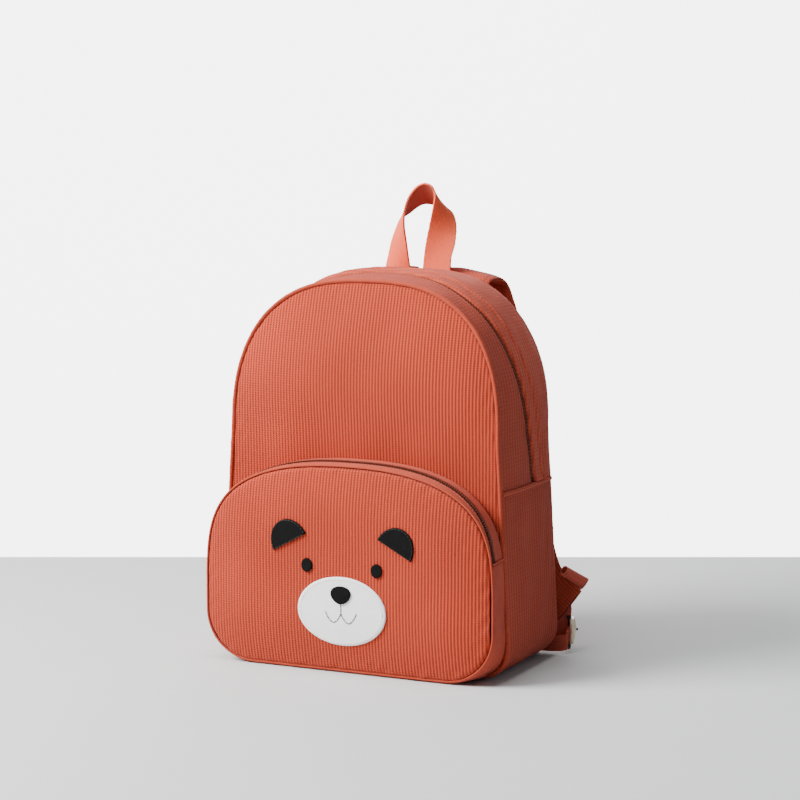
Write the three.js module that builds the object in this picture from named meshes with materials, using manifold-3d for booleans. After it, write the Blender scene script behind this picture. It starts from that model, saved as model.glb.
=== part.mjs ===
import * as THREE from 'three';
import { mergeVertices } from 'three/addons/utils/BufferGeometryUtils.js';
import Module from 'manifold-3d';

const wasm = await Module();
wasm.setup();

// A child's backpack in ribbed cloth, standing on its flat base, front towards -Y.
// Millimetres, +Z up. The pieces are placed from the front seam (Y = 0) and the whole bag is then
// moved forwards, so that the origin is in the middle of the base's underside.

// main body: an arched outline carried back from the front seam to the back seam
const BODY_HALF_WIDTH = 115;
const BODY_FRONT_HEIGHT = 302;
const BODY_SHOULDER_Z = 184;
const BODY_TAPER = 0.057;
const BODY_DEPTH = 104;
const BODY_BACK_RISE = 6;
const FRONT_LEAN = 9.5;
const BASE_CORNER = 26;
const CLOTH = 2;
const GAP = 0.35;
const SIDE_BELLY = 2.5;
const SEAM_HALF = 2.4;
const PIPING_RADIUS = 2.1;
const BACK_PIPING_RADIUS = 1.8;
const BACK_SEAM_IN = 2.4;
const SIDE_SEAM_Z = 145;

// bulge of the front panel by height: full in the upper half, pressed in above the pocket
const FRONT_BULGE = [
  { z: 0, out: 1 },
  { z: 120, out: 1 },
  { z: 158, out: 2 },
  { z: 180, out: 3.6 },
  { z: 222, out: 8 },
  { z: 265, out: 7.5 },
  { z: 300, out: 5 },
];
const BACK_BULGE = 4;
const BULGE_REACH = 62;

// where the main zip runs across the depth, by share of the way down from the top
const ZIP_LINE = [
  { down: -0.3, depth: 0.37 },
  { down: 0, depth: 0.43 },
  { down: 0.3, depth: 0.355 },
  { down: 0.6, depth: 0.41 },
  { down: 1, depth: 0.585 },
];
const ZIP_HALF = 0.022;
const FLAP_WIDTH = 0.15;
const FLAP_THICK = 2.2;

// soft dents in the side walls: place along the side, place in the depth, size and depth
const DENTS = [
  { z: 168, depth: 0.8, tall: 16, wide: 0.16, in: 1.6 },
  { z: 152, depth: 0.62, tall: 10, wide: 0.14, in: 1.1 },
  { z: 95, depth: 0.45, tall: 26, wide: 0.2, in: 1.4 },
  { z: 40, depth: 0.7, tall: 22, wide: 0.18, in: 1.2 },
];

// front pocket
const POCKET_HALF_WIDTH = 121;
const POCKET_FLARE = 3;
const POCKET_TOP = 163.5;
const POCKET_FRONT_DROP = 1.5;
const POCKET_MIDDLE_Z = 48;
const POCKET_DEPTH = 28;
const POCKET_BASE_Z = 0.8;
const POCKET_BULGE = 7;
const POCKET_BULGE_REACH = 48;
const POCKET_BAND_END_Z = 95;
const POCKET_ZIP_FROM = 0.42;
const POCKET_ZIP_TO = 0.56;

// zip sliders: thick is outwards, wide is across the zip, tall is along it
const MAIN_SLIDER = { thick: 4.7, wide: 3.4, tall: 9 };
const POCKET_SLIDER = { thick: 3.9, wide: 2.8, tall: 7 };
const SLIDER_PULL = { thick: 1, wide: 2.6, tall: 24 };

// carrying handle of webbing: its near and far edge, from the left foot over to the right foot
const WEB = 1.8;
const HANDLE_PATH = [
  { nearX: -7.5, nearY: 107.6, nearZ: 284, farX: -32.5, farY: 107.5, farZ: 284 },
  { nearX: -9, nearY: 107.5, nearZ: 296, farX: -33, farY: 107.7, farZ: 296 },
  { nearX: -10.6, nearY: 107.4, nearZ: 306, farX: -33.6, farY: 110, farZ: 305.6 },
  { nearX: -9.8, nearY: 101.8, nearZ: 317, farX: -32, farY: 112.2, farZ: 316 },
  { nearX: -9.5, nearY: 97.5, nearZ: 328.6, farX: -29.4, farY: 112.5, farZ: 326.6 },
  { nearX: -9.5, nearY: 93.8, nearZ: 340, farX: -25.2, farY: 113.2, farZ: 338 },
  { nearX: -8.6, nearY: 92.4, nearZ: 350, farX: -21.6, farY: 113.2, farZ: 345 },
  { nearX: -6.4, nearY: 92.4, nearZ: 359, farX: -17.4, farY: 112.6, farZ: 347.6 },
  { nearX: -2.8, nearY: 93, nearZ: 366.4, farX: -12, farY: 111.8, farZ: 350.6 },
  { nearX: 2.2, nearY: 94, nearZ: 372, farX: -5.4, farY: 111, farZ: 355 },
  { nearX: 8.4, nearY: 94.8, nearZ: 374.4, farX: 1.2, farY: 111.4, farZ: 357.6 },
  { nearX: 14.4, nearY: 95.4, nearZ: 372, farX: 9.4, farY: 113, farZ: 356.6 },
  { nearX: 16.4, nearY: 96.4, nearZ: 365.6, farX: 17.8, farY: 115, farZ: 354 },
  { nearX: 14.6, nearY: 98, nearZ: 357, farX: 24, farY: 115.4, farZ: 349 },
  { nearX: 11, nearY: 100.4, nearZ: 346, farX: 27.6, farY: 114, farZ: 339.4 },
  { nearX: 5.6, nearY: 104.4, nearZ: 330, farX: 28.2, farY: 110.6, farZ: 326.4 },
  { nearX: 2.4, nearY: 107, nearZ: 317, farX: 25.8, farY: 108.6, farZ: 315.6 },
  { nearX: 1, nearY: 107.6, nearZ: 306, farX: 25.2, farY: 108, farZ: 305.4 },
  { nearX: 0.6, nearY: 107.4, nearZ: 296, farX: 25.2, farY: 107.4, farZ: 296 },
  { nearX: 0.6, nearY: 107.6, nearZ: 284, farX: 25.4, farY: 107.5, farZ: 284 },
];

// padded shoulder strap (right one; the left one is its mirror): middle line and width
const STRAP_THICK = 7;
const STRAP_PATH = [
  { x: 49.5, y: 110.6, z: 264, wide: 29, thick: 0.6, droop: 0 },
  { x: 49.5, y: 109.4, z: 282, wide: 29, thick: 0.6, droop: 0.1 },
  { x: 49.7, y: 110.8, z: 293, wide: 29, thick: 0.7, droop: 0.18 },
  { x: 50, y: 117, z: 298.5, wide: 30, thick: 0.85, droop: 0.18 },
  { x: 50.5, y: 126, z: 299, wide: 32, thick: 1, droop: 0.18 },
  { x: 51, y: 133, z: 295, wide: 34, thick: 1, droop: 0.16 },
  { x: 51.6, y: 136.6, z: 285, wide: 36, thick: 1, droop: 0.1 },
  { x: 53, y: 139, z: 266, wide: 37, thick: 1, droop: 0 },
  { x: 59, y: 141, z: 232, wide: 38, thick: 1, droop: 0 },
  { x: 67, y: 141, z: 194, wide: 38, thick: 1, droop: 0 },
  { x: 75.5, y: 138, z: 156, wide: 38, thick: 1, droop: 0 },
  { x: 83, y: 132.5, z: 122, wide: 37, thick: 1, droop: 0 },
  { x: 88, y: 127.5, z: 98, wide: 36, thick: 1, droop: 0 },
  { x: 94, y: 123.5, z: 77, wide: 35, thick: 0.9, droop: 0 },
  { x: 102, y: 120.5, z: 60, wide: 34, thick: 0.8, droop: 0 },
  { x: 112.6, y: 119, z: 47.5, wide: 33, thick: 0.65, droop: 0 },
  { x: 124.4, y: 118, z: 38, wide: 33, thick: 0.65, droop: 0 },
];

// lower webbing and adjusting buckle (right one; the left one is its mirror)
const WEB_WIDTH = 19;
const TAIL_ROLL = { x: 129.6, y: 118.8, z: 62, radius: 3.1 };
const BUCKLE = { x: 128, y: 122, z: 17, turn: 20 };
const BUCKLE_LONG = 20;
const BUCKLE_TALL = 22;
const BUCKLE_THICK = 4;
const BUCKLE_RAIL = 2.4;
const BAR_RADIUS = 1.1;
const BAR_HEAD_RADIUS = 2.2;

// animal face on the pocket: felt pieces, middle and half sizes
const FELT = 1.2;
const MUZZLE = { x: 0, z: 50, wide: 38, tall: 27 };
const NOSE = { x: 0, z: 63, wide: 10, tall: 7 };
const EYE = { x: 30, z: 84, wide: 4.6, tall: 5.4 };
const EAR = { x: 45, z: 101, wide: 16, tall: 18, tilt: 28 };

// colours
const RUST = 0xc2593f;
const WEBBING = 0xd0705a;
const ZIP_BROWN = 0x8f3d2b;
const BLACK = 0x161616;
const WHITE = 0xf2efea;
const PALE_GOLD = 0xd9cba6;

const clamp = (value, low, high) => Math.min(high, Math.max(low, value));
const mix = (a, b, share) => a + (b - a) * share;
const mod = (value, size) => ((value % size) + size) % size;

// slope of a table's column at a row, from the rows beside it
function slopeAt(table, by, column, i) {
  const before = table[Math.max(i - 1, 0)];
  const after = table[Math.min(i + 1, table.length - 1)];
  return (after[column] - before[column]) / (after[by] - before[by]);
}

// value of one column at a place, along a table sorted by another column, on a smooth curve
function fromTable(table, by, column, at) {
  if (at <= table[0][by]) return table[0][column];
  const i = table.findIndex((row) => row[by] >= at);
  if (i < 0) return table[table.length - 1][column];
  const low = table[i - 1];
  const high = table[i];
  const span = high[by] - low[by];
  const t = (at - low[by]) / span;
  const rise = t * t * (3 - 2 * t);
  const start = t * (1 - t) ** 2 * span * slopeAt(table, by, column, i - 1);
  const end = t * t * (t - 1) * span * slopeAt(table, by, column, i);
  return mix(low[column], high[column], rise) + start + end;
}

// closed outline in the X-Z plane, even steps along it, from the base's middle over the
// right side and the top to the left side; halfPoints lists its right half from the base up
class Outline {
  constructor(halfPoints) {
    const mirrored = halfPoints.slice(1, -1).reverse().map(([x, z]) => [-x, z]);
    this.points = [...halfPoints, ...mirrored];
    this.total = 0;
    this.starts = this.points.map((point, i) => {
      const start = this.total;
      const next = this.points[(i + 1) % this.points.length];
      this.total += Math.hypot(next[0] - point[0], next[1] - point[1]);
      return start;
    });
  }

  // point at a share of the way round, moved outwards by off
  at(share, off = 0) {
    const spot = this.spot(share);
    const before = this.spot(share - 0.004);
    const after = this.spot(share + 0.004);
    const alongX = after[0] - before[0];
    const alongZ = after[1] - before[1];
    const length = Math.hypot(alongX, alongZ);
    return [spot[0] + (alongZ / length) * off, spot[1] - (alongX / length) * off];
  }

  spot(share) {
    const way = mod(share, 1) * this.total;
    let i = this.starts.findIndex((start) => start > way) - 1;
    if (i < 0) i = this.points.length - 1;
    const next = this.points[(i + 1) % this.points.length];
    const length = Math.hypot(next[0] - this.points[i][0], next[1] - this.points[i][1]);
    const part = (way - this.starts[i]) / length;
    return [mix(this.points[i][0], next[0], part), mix(this.points[i][1], next[1], part)];
  }

  // share of the way round where the right side reaches a height
  shareAtHeight(z) {
    let low = 0.05;
    let high = 0.5;
    for (let i = 0; i < 30; i += 1) {
      const middle = (low + high) / 2;
      if (this.spot(middle)[1] < z) low = middle;
      else high = middle;
    }
    return low;
  }

  // distance from a point inside to the nearest edge
  depthInside(x, z) {
    let best = Infinity;
    for (let i = 0; i < this.points.length; i += 1) {
      const a = this.points[i];
      const b = this.points[(i + 1) % this.points.length];
      const dx = b[0] - a[0];
      const dz = b[1] - a[1];
      const part = clamp(((x - a[0]) * dx + (z - a[1]) * dz) / (dx * dx + dz * dz), 0, 1);
      best = Math.min(best, Math.hypot(x - a[0] - dx * part, z - a[1] - dz * part));
    }
    return best;
  }
}

// half of an arch: flat base, rounded corner, straight tapered side, rounded top
function archHalf({ halfWidth, top, base, shoulder, taper, corner, flat, round }) {
  const points = [[0, base]];
  const cornerX = halfWidth + taper * (shoulder - base) - corner;
  const STEPS = 10;
  for (let i = 0; i <= STEPS; i += 1) {
    const angle = (i / STEPS) * (Math.PI / 2);
    const z = base + corner * (1 - Math.cos(angle));
    points.push([cornerX + corner * Math.sin(angle) - taper * (z - base), z]);
  }
  for (let i = 1; i < 8; i += 1) {
    const z = mix(base + corner, shoulder, i / 8);
    points.push([halfWidth + taper * (shoulder - z), z]);
  }
  const ARC = 36;
  for (let i = 0; i <= ARC; i += 1) {
    const angle = (i / ARC) * (Math.PI / 2);
    const x = halfWidth * Math.cos(angle) ** (2 / flat);
    points.push([i === ARC ? 0 : x, shoulder + (top - shoulder) * Math.sin(angle) ** (2 / round)]);
  }
  return points;
}

function bodyArch(base) {
  return new Outline(archHalf({
    halfWidth: BODY_HALF_WIDTH,
    top: BODY_FRONT_HEIGHT,
    base,
    shoulder: BODY_SHOULDER_Z,
    taper: BODY_TAPER,
    corner: BASE_CORNER,
    flat: 2.656,
    round: 2.412,
  }));
}

const bodyOutline = bodyArch(0);
// the corded seams stand on the same ground as the base
const seamOutline = bodyArch(PIPING_RADIUS + 0.1);

const pocketOutline = new Outline(archHalf({
  halfWidth: POCKET_HALF_WIDTH,
  top: POCKET_TOP,
  base: POCKET_BASE_Z,
  shoulder: POCKET_MIDDLE_Z,
  taper: 0,
  corner: 40,
  flat: 2.4,
  round: 3.9,
}));

// y of the front seam: the upper part leans back
function frontSeamY(z) {
  return FRONT_LEAN * (clamp(z - 155, 0, 160) / 145) ** 2;
}

// z of the back seam over a front seam height: the back's top stands higher
function backSeamZ(z) {
  return z + BODY_BACK_RISE * (clamp(z - 155, 0, 160) / 145) ** 2;
}

function dentAt(z, depth) {
  let sum = 0;
  for (const dent of DENTS) {
    const across = ((z - dent.z) / dent.tall) ** 2 + ((depth - dent.depth) / dent.wide) ** 2;
    sum += dent.in * Math.exp(-across);
  }
  return sum;
}

// point of the body's wall: share round the outline, share of the depth, distance outwards
function bodyWall(share, depth, off = 0, outline = bodyOutline) {
  const [, flatZ] = outline.at(share);
  const onSide = clamp((flatZ - 20) / 60, 0, 1);
  const belly = onSide * (SIDE_BELLY * Math.sin(Math.PI * clamp(depth, 0, 1)) - dentAt(flatZ, depth));
  const [x, z] = outline.at(share, off + belly);
  const y = mix(frontSeamY(flatZ), BODY_DEPTH, depth);
  return new THREE.Vector3(x, y, z + (backSeamZ(flatZ) - flatZ) * clamp(depth, 0, 1));
}

// point of the pocket's wall: depth share 0 at its front seam and 1 at the bag
function pocketWall(share, depth, off = 0) {
  const [flatX, flatZ] = pocketOutline.at(share);
  const [x, z] = pocketOutline.at(share, off);
  const rearY = Math.min(frontPanelY(flatX, flatZ), -PIPING_RADIUS) - GAP - 0.25;
  const widen = mix(1 + POCKET_FLARE / POCKET_HALF_WIDTH, 1, depth);
  const drop = POCKET_FRONT_DROP * (1 - depth) * clamp((z - 60) / 100, 0, 1);
  return new THREE.Vector3(x * widen, mix(-POCKET_DEPTH, rearY, depth), z - drop);
}

function dome(outline, x, z, reach) {
  const share = clamp(outline.depthInside(x, z) / reach, 0, 1);
  return 1 - (1 - share) ** 2;
}

function frontPanelY(x, z) {
  return frontSeamY(z) - fromTable(FRONT_BULGE, 'z', 'out', z) * dome(bodyOutline, x, z, BULGE_REACH);
}

function backPanelY(x, z) {
  const low = z - BODY_BACK_RISE * (clamp(z - 155, 0, 160) / 145) ** 2;
  return BODY_DEPTH + BACK_BULGE * dome(bodyOutline, x, low, BULGE_REACH);
}

function pocketPanelY(x, z) {
  return -POCKET_DEPTH - POCKET_BULGE * dome(pocketOutline, x / 1.03, z, POCKET_BULGE_REACH);
}

function meshFrom(name, colour, geometry, roughness = 0.85, metalness = 0) {
  const material = new THREE.MeshStandardMaterial({ color: colour, roughness, metalness });
  const mesh = new THREE.Mesh(geometry, material);
  mesh.name = name;
  return mesh;
}

// geometry from points and faces, turned so that its faces point outwards
function solid(points, faces) {
  let volume = 0;
  for (const [a, b, c] of faces) {
    volume += points[a].dot(new THREE.Vector3().crossVectors(points[b], points[c]));
  }
  const turned = volume < 0 ? faces.map(([a, b, c]) => [a, c, b]) : faces;
  const geometry = new THREE.BufferGeometry();
  const numbers = points.flatMap((point) => [point.x, point.y, point.z]);
  geometry.setAttribute('position', new THREE.Float32BufferAttribute(numbers, 3));
  geometry.setIndex(turned.flat());
  return geometry;
}

// closed body through a row of sections with equal point counts; a ring has no end caps
function throughSections(sections, ring = false) {
  const count = sections[0].length;
  const points = sections.flat();
  const faces = [];
  const last = ring ? sections.length : sections.length - 1;
  for (let i = 0; i < last; i += 1) {
    const here = i * count;
    const next = ((i + 1) % sections.length) * count;
    for (let j = 0; j < count; j += 1) {
      const k = (j + 1) % count;
      faces.push([here + j, here + k, next + k], [here + j, next + k, next + j]);
    }
  }
  if (!ring) {
    const end = (sections.length - 1) * count;
    // the section's two long sides are paired, so that a curved cap stays inside it
    for (let j = 0; j < count / 2 - 1; j += 1) {
      const k = count - 1 - j;
      faces.push([j, k, k - 1], [j, k - 1, j + 1]);
      faces.push([end + j, end + k - 1, end + k], [end + j, end + j + 1, end + k - 1]);
    }
  }
  return solid(points, faces);
}

// strip of cloth on a wall: share range along the outline, depth range that may vary with it
function wallStrip({ wall, from, to, steps, across, depths, thick, lift = 0, ring = false }) {
  const sections = [];
  const count = ring ? steps : steps + 1;
  for (let i = 0; i < count; i += 1) {
    const share = mix(from, to, i / steps);
    const [first, last] = depths(share);
    const outer = [];
    const inner = [];
    for (let j = 0; j <= across; j += 1) {
      const depth = mix(first, last, j / across);
      outer.push(wall(share, depth, lift));
      inner.push(wall(share, depth, lift - thick));
    }
    sections.push([...outer, ...inner.reverse()]);
  }
  return throughSections(sections, ring);
}

// domed sheet inside a closed loop: rings from the loop to a middle point
function sheet({ loop, middle, rings, steps, outerY, thick }) {
  const points = [];
  const faces = [];
  for (const side of [0, 1]) {
    const start = points.length;
    const place = (x, z) => points.push(new THREE.Vector3(x, outerY(x, z) + side * thick, z));
    for (let r = 0; r < rings.length; r += 1) {
      for (let i = 0; i < steps; i += 1) {
        const [x, z] = loop(i / steps);
        place(mix(middle[0], x, rings[r]), mix(middle[1], z, rings[r]));
      }
    }
    place(...middle);
    const centre = points.length - 1;
    const add = (a, b, c) => faces.push(side ? [a, c, b] : [a, b, c]);
    for (let i = 0; i < steps; i += 1) {
      const k = (i + 1) % steps;
      for (let r = 0; r < rings.length - 1; r += 1) {
        const here = start + r * steps;
        add(here + i, here + k, here + steps + k);
        add(here + i, here + steps + k, here + steps + i);
      }
      const inmost = start + (rings.length - 1) * steps;
      add(inmost + i, inmost + k, centre);
    }
  }
  const half = points.length / 2;
  for (let i = 0; i < steps; i += 1) {
    const k = (i + 1) % steps;
    faces.push([i, half + i, half + k], [i, half + k, k]);
  }
  return solid(points, faces);
}

// round cord sewn along a seam
function seamCord(place, steps, sides, radius) {
  const sections = [];
  for (let i = 0; i < steps; i += 1) {
    const share = i / steps;
    const middle = place(share, 0);
    const outwards = place(share, 1).sub(middle).normalize();
    const section = [];
    for (let j = 0; j < sides; j += 1) {
      const angle = (j / sides) * Math.PI * 2;
      const off = outwards.clone().multiplyScalar(Math.cos(angle) * radius);
      section.push(middle.clone().add(off).add(new THREE.Vector3(0, Math.sin(angle) * radius, 0)));
    }
    sections.push(section);
  }
  return throughSections(sections, true);
}

// band along a path: table rows give the middle; across gives its direction and width
function band({ path, steps, across, width, thick, soft = 0.35 }) {
  const spine = new THREE.CatmullRomCurve3(path.map((row) => new THREE.Vector3(row.x, row.y, row.z)),
    false, 'centripetal');
  const sections = [];
  for (let i = 0; i <= steps; i += 1) {
    const t = i / steps;
    const middle = spine.getPoint(t);
    const along = spine.getTangent(t);
    const sideways = across(t, along);
    sideways.addScaledVector(along, -sideways.dot(along)).normalize();
    const upright = new THREE.Vector3().crossVectors(along, sideways).normalize();
    const halfWidth = width(t) / 2;
    const halfThick = thick(t) / 2;
    const corner = Math.min(halfThick, halfWidth) * soft * 2;
    const section = [];
    const corners = [
      [-halfWidth + corner, halfThick], [0, halfThick], [halfWidth - corner, halfThick],
      [halfWidth, 0],
      [halfWidth - corner, -halfThick], [0, -halfThick], [-halfWidth + corner, -halfThick],
      [-halfWidth, 0],
    ];
    for (const [side, up] of corners) {
      section.push(middle.clone().addScaledVector(sideways, side).addScaledVector(upright, up));
    }
    // start at the left edge, so that the two long sides pair up in the caps
    sections.push([section[7], ...section.slice(0, 7)]);
  }
  return throughSections(sections);
}

function columnCurve(path, column) {
  return (t) => {
    const place = clamp(t, 0, 1) * (path.length - 1);
    const i = Math.min(Math.floor(place), path.length - 2);
    return mix(path[i][column], path[i + 1][column], place - i);
  };
}

function manifoldFrom(geometry) {
  const bare = geometry.clone();
  bare.deleteAttribute('normal');
  bare.deleteAttribute('uv');
  const merged = mergeVertices(bare, 1e-3);
  const corners = merged.index.array;
  const kept = [];
  for (let i = 0; i < corners.length; i += 3) {
    const [a, b, c] = [corners[i], corners[i + 1], corners[i + 2]];
    // a pole's faces that have shrunk to a line are left out
    if (a !== b && b !== c && c !== a) kept.push(a, b, c);
  }
  return new wasm.Manifold(new wasm.Mesh({
    numProp: 3,
    vertProperties: new Float32Array(merged.attributes.position.array),
    triVerts: new Uint32Array(kept),
  }));
}

function geometryFrom(shape) {
  const mesh = shape.getMesh();
  const geometry = new THREE.BufferGeometry();
  geometry.setAttribute('position', new THREE.BufferAttribute(mesh.vertProperties, 3));
  geometry.setIndex(new THREE.BufferAttribute(mesh.triVerts, 1));
  return geometry;
}

const bag = new THREE.Group();
bag.position.y = -BODY_DEPTH / 2;
bag.name = 'backpack';

// shares round the outline of the side seam on both sides
const seamRight = bodyOutline.shareAtHeight(SIDE_SEAM_Z);
const seamLeft = 1 - seamRight;
const frontEdge = SEAM_HALF / BODY_DEPTH;
const backEdge = 1 - SEAM_HALF / BODY_DEPTH;
const slit = 0.4 / BODY_DEPTH;

function zipDepth(share) {
  const down = Math.abs(share - 0.5) / (0.5 - seamRight);
  return fromTable(ZIP_LINE, 'down', 'depth', down);
}

function buildBody() {
  const arch = { wall: bodyWall, from: seamRight, to: seamLeft, thick: CLOTH };
  const rings = [1, 0.86, 0.68, 0.45, 0.22];
  bag.add(meshFrom('front_panel', RUST, sheet({
    loop: (share) => seamOutline.at(share, -SEAM_HALF - GAP),
    middle: [0, 165],
    rings,
    steps: 40,
    outerY: frontPanelY,
    thick: CLOTH,
  })));
  bag.add(meshFrom('front_piping', RUST, seamCord(
    (share, off) => bodyWall(share, 0, off, seamOutline), 56, 6, PIPING_RADIUS)));
  bag.add(meshFrom('zip_band_front', RUST, wallStrip({
    ...arch, steps: 40, across: 2, depths: (s) => [frontEdge, zipDepth(s) - ZIP_HALF - slit],
  })));
  bag.add(meshFrom('main_zip', ZIP_BROWN, wallStrip({
    ...arch, steps: 40, across: 1, thick: 1, lift: -0.8,
    depths: (s) => [zipDepth(s) - ZIP_HALF, zipDepth(s) + ZIP_HALF],
  })));
  bag.add(meshFrom('zip_flap', RUST, wallStrip({
    ...arch, steps: 40, across: 2, thick: FLAP_THICK, lift: FLAP_THICK + GAP,
    depths: (s) => [zipDepth(s) + ZIP_HALF + slit, zipDepth(s) + ZIP_HALF + FLAP_WIDTH],
  })));
  bag.add(meshFrom('zip_band_back', RUST, wallStrip({
    ...arch, steps: 40, across: 2, depths: (s) => [zipDepth(s) + ZIP_HALF + slit, backEdge],
  })));
  const lower = 0.4 / bodyOutline.total;
  bag.add(meshFrom('base_band', RUST, wallStrip({
    wall: bodyWall, from: -seamRight + lower, to: seamRight - lower, steps: 32, across: 3,
    depths: () => [frontEdge, backEdge], thick: CLOTH,
  })));
  // turned hem that lies over the top edge of each lower side
  const hem = 5 / bodyOutline.total;
  for (const [side, share] of [['right', seamRight], ['left', seamLeft]]) {
    const down = side === 'right' ? -hem : hem;
    bag.add(meshFrom(`side_hem_${side}`, RUST, wallStrip({
      wall: bodyWall, from: share, to: share + down, steps: 2, across: 5, thick: 1.4,
      lift: 1.4 + GAP, depths: () => [frontEdge, backEdge],
    })));
  }
  bag.add(meshFrom('back_panel', RUST, sheet({
    loop: (share) => {
      const [x, z] = seamOutline.at(share, -BACK_SEAM_IN - BACK_PIPING_RADIUS - GAP);
      return [x, backSeamZ(z)];
    },
    middle: [0, 165],
    rings: [1, 0.8, 0.5],
    steps: 40,
    outerY: (x, z) => backPanelY(x, z) - CLOTH,
    thick: CLOTH,
  })));
  bag.add(meshFrom('back_piping', RUST, seamCord(
    (share, off) => bodyWall(share, 1, off - BACK_SEAM_IN, seamOutline),
    56, 6, BACK_PIPING_RADIUS)));
}

function buildPocket() {
  const endRight = pocketOutline.shareAtHeight(POCKET_BAND_END_Z);
  const endLeft = 1 - endRight;
  const arch = { wall: pocketWall, from: endRight, to: endLeft, thick: CLOTH };
  const cut = 0.4 / POCKET_DEPTH;
  bag.add(meshFrom('pocket_panel', RUST, sheet({
    loop: (share) => {
      const spot = pocketWall(share, 0, 0);
      return [spot.x, spot.z];
    },
    middle: [0, 82],
    rings: [1, 0.88, 0.7, 0.45],
    steps: 48,
    outerY: pocketPanelY,
    thick: CLOTH,
  })));
  const start = (CLOTH + GAP) / POCKET_DEPTH;
  bag.add(meshFrom('pocket_band_front', RUST, wallStrip({
    ...arch, steps: 32, across: 1, depths: () => [start, POCKET_ZIP_FROM - cut],
  })));
  bag.add(meshFrom('pocket_zip', ZIP_BROWN, wallStrip({
    ...arch, steps: 32, across: 1, thick: 1, lift: -0.6,
    depths: () => [POCKET_ZIP_FROM, POCKET_ZIP_TO],
  })));
  bag.add(meshFrom('pocket_band_back', RUST, wallStrip({
    ...arch, steps: 32, across: 1, depths: () => [POCKET_ZIP_TO + cut, 1],
  })));
  const lower = 0.4 / pocketOutline.total;
  bag.add(meshFrom('pocket_gusset', RUST, wallStrip({
    wall: pocketWall, from: -endRight + lower, to: endRight - lower, steps: 34, across: 2,
    depths: () => [start, 1], thick: CLOTH,
  })));
}

// zip slider with its pull hanging down, on the left end of a zip
function buildSlider(name, spot, size) {
  const body = new THREE.BoxGeometry(size.thick, size.wide, size.tall);
  const pull = new THREE.BoxGeometry(SLIDER_PULL.thick, SLIDER_PULL.wide, SLIDER_PULL.tall);
  pull.translate(-size.thick / 2 - SLIDER_PULL.thick * 0.2, 0, -SLIDER_PULL.tall / 2);
  const joined = manifoldFrom(body).add(manifoldFrom(pull));
  const mesh = meshFrom(name, BLACK, geometryFrom(joined), 0.5, 0.3);
  mesh.position.copy(spot);
  bag.add(mesh);
}

function buildSliders() {
  const onMain = seamLeft - 14 / bodyOutline.total;
  const main = bodyWall(onMain, zipDepth(onMain), 0);
  buildSlider('main_slider', main.add(new THREE.Vector3(0.3 - MAIN_SLIDER.thick / 2, 0, 0)), MAIN_SLIDER);
  const pocketEnd = 1 - pocketOutline.shareAtHeight(POCKET_BAND_END_Z + 9);
  const middle = (POCKET_ZIP_FROM + POCKET_ZIP_TO) / 2;
  const small = pocketWall(pocketEnd, middle, 0);
  buildSlider('pocket_slider',
    small.add(new THREE.Vector3(-0.4 - POCKET_SLIDER.thick / 2, 0, 0)), POCKET_SLIDER);
}

function buildHandle() {
  const middles = HANDLE_PATH.map((row) => ({
    x: (row.nearX + row.farX) / 2,
    y: (row.nearY + row.farY) / 2,
    z: (row.nearZ + row.farZ) / 2,
    toX: row.farX - row.nearX,
    toY: row.farY - row.nearY,
    toZ: row.farZ - row.nearZ,
    wide: Math.hypot(row.farX - row.nearX, row.farY - row.nearY, row.farZ - row.nearZ),
  }));
  const [toX, toY, toZ, wide] = ['toX', 'toY', 'toZ', 'wide'].map(
    (column) => columnCurve(middles, column));
  bag.add(meshFrom('handle', WEBBING, band({
    path: middles,
    steps: 30,
    across: (t) => new THREE.Vector3(toX(t), toY(t), toZ(t)),
    width: wide,
    thick: () => WEB,
  }), 0.8));
}

// mirrors a table of path rows to the left side
function sided(rows, side) {
  return rows.map((row) => ({ ...row, x: row.x * side }));
}

function buildStrap(name, side) {
  const wide = columnCurve(STRAP_PATH, 'wide');
  const thick = columnCurve(STRAP_PATH, 'thick');
  const droop = columnCurve(STRAP_PATH, 'droop');
  bag.add(meshFrom(`strap_${name}`, RUST, band({
    path: sided(STRAP_PATH, side),
    steps: 26,
    across: (t) => new THREE.Vector3(1, 0, -side * droop(t)),
    width: wide,
    thick: (t) => thick(t) * STRAP_THICK,
    soft: 0.5,
  })));
}

// direction of the buckle's length in plan, and a point in the buckle's own frame
function buckleSpot(along, out, up) {
  const turn = THREE.MathUtils.degToRad(BUCKLE.turn);
  return {
    x: BUCKLE.x - Math.sin(turn) * along + Math.cos(turn) * out,
    y: BUCKLE.y + Math.cos(turn) * along + Math.sin(turn) * out,
    z: BUCKLE.z + up,
  };
}

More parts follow.
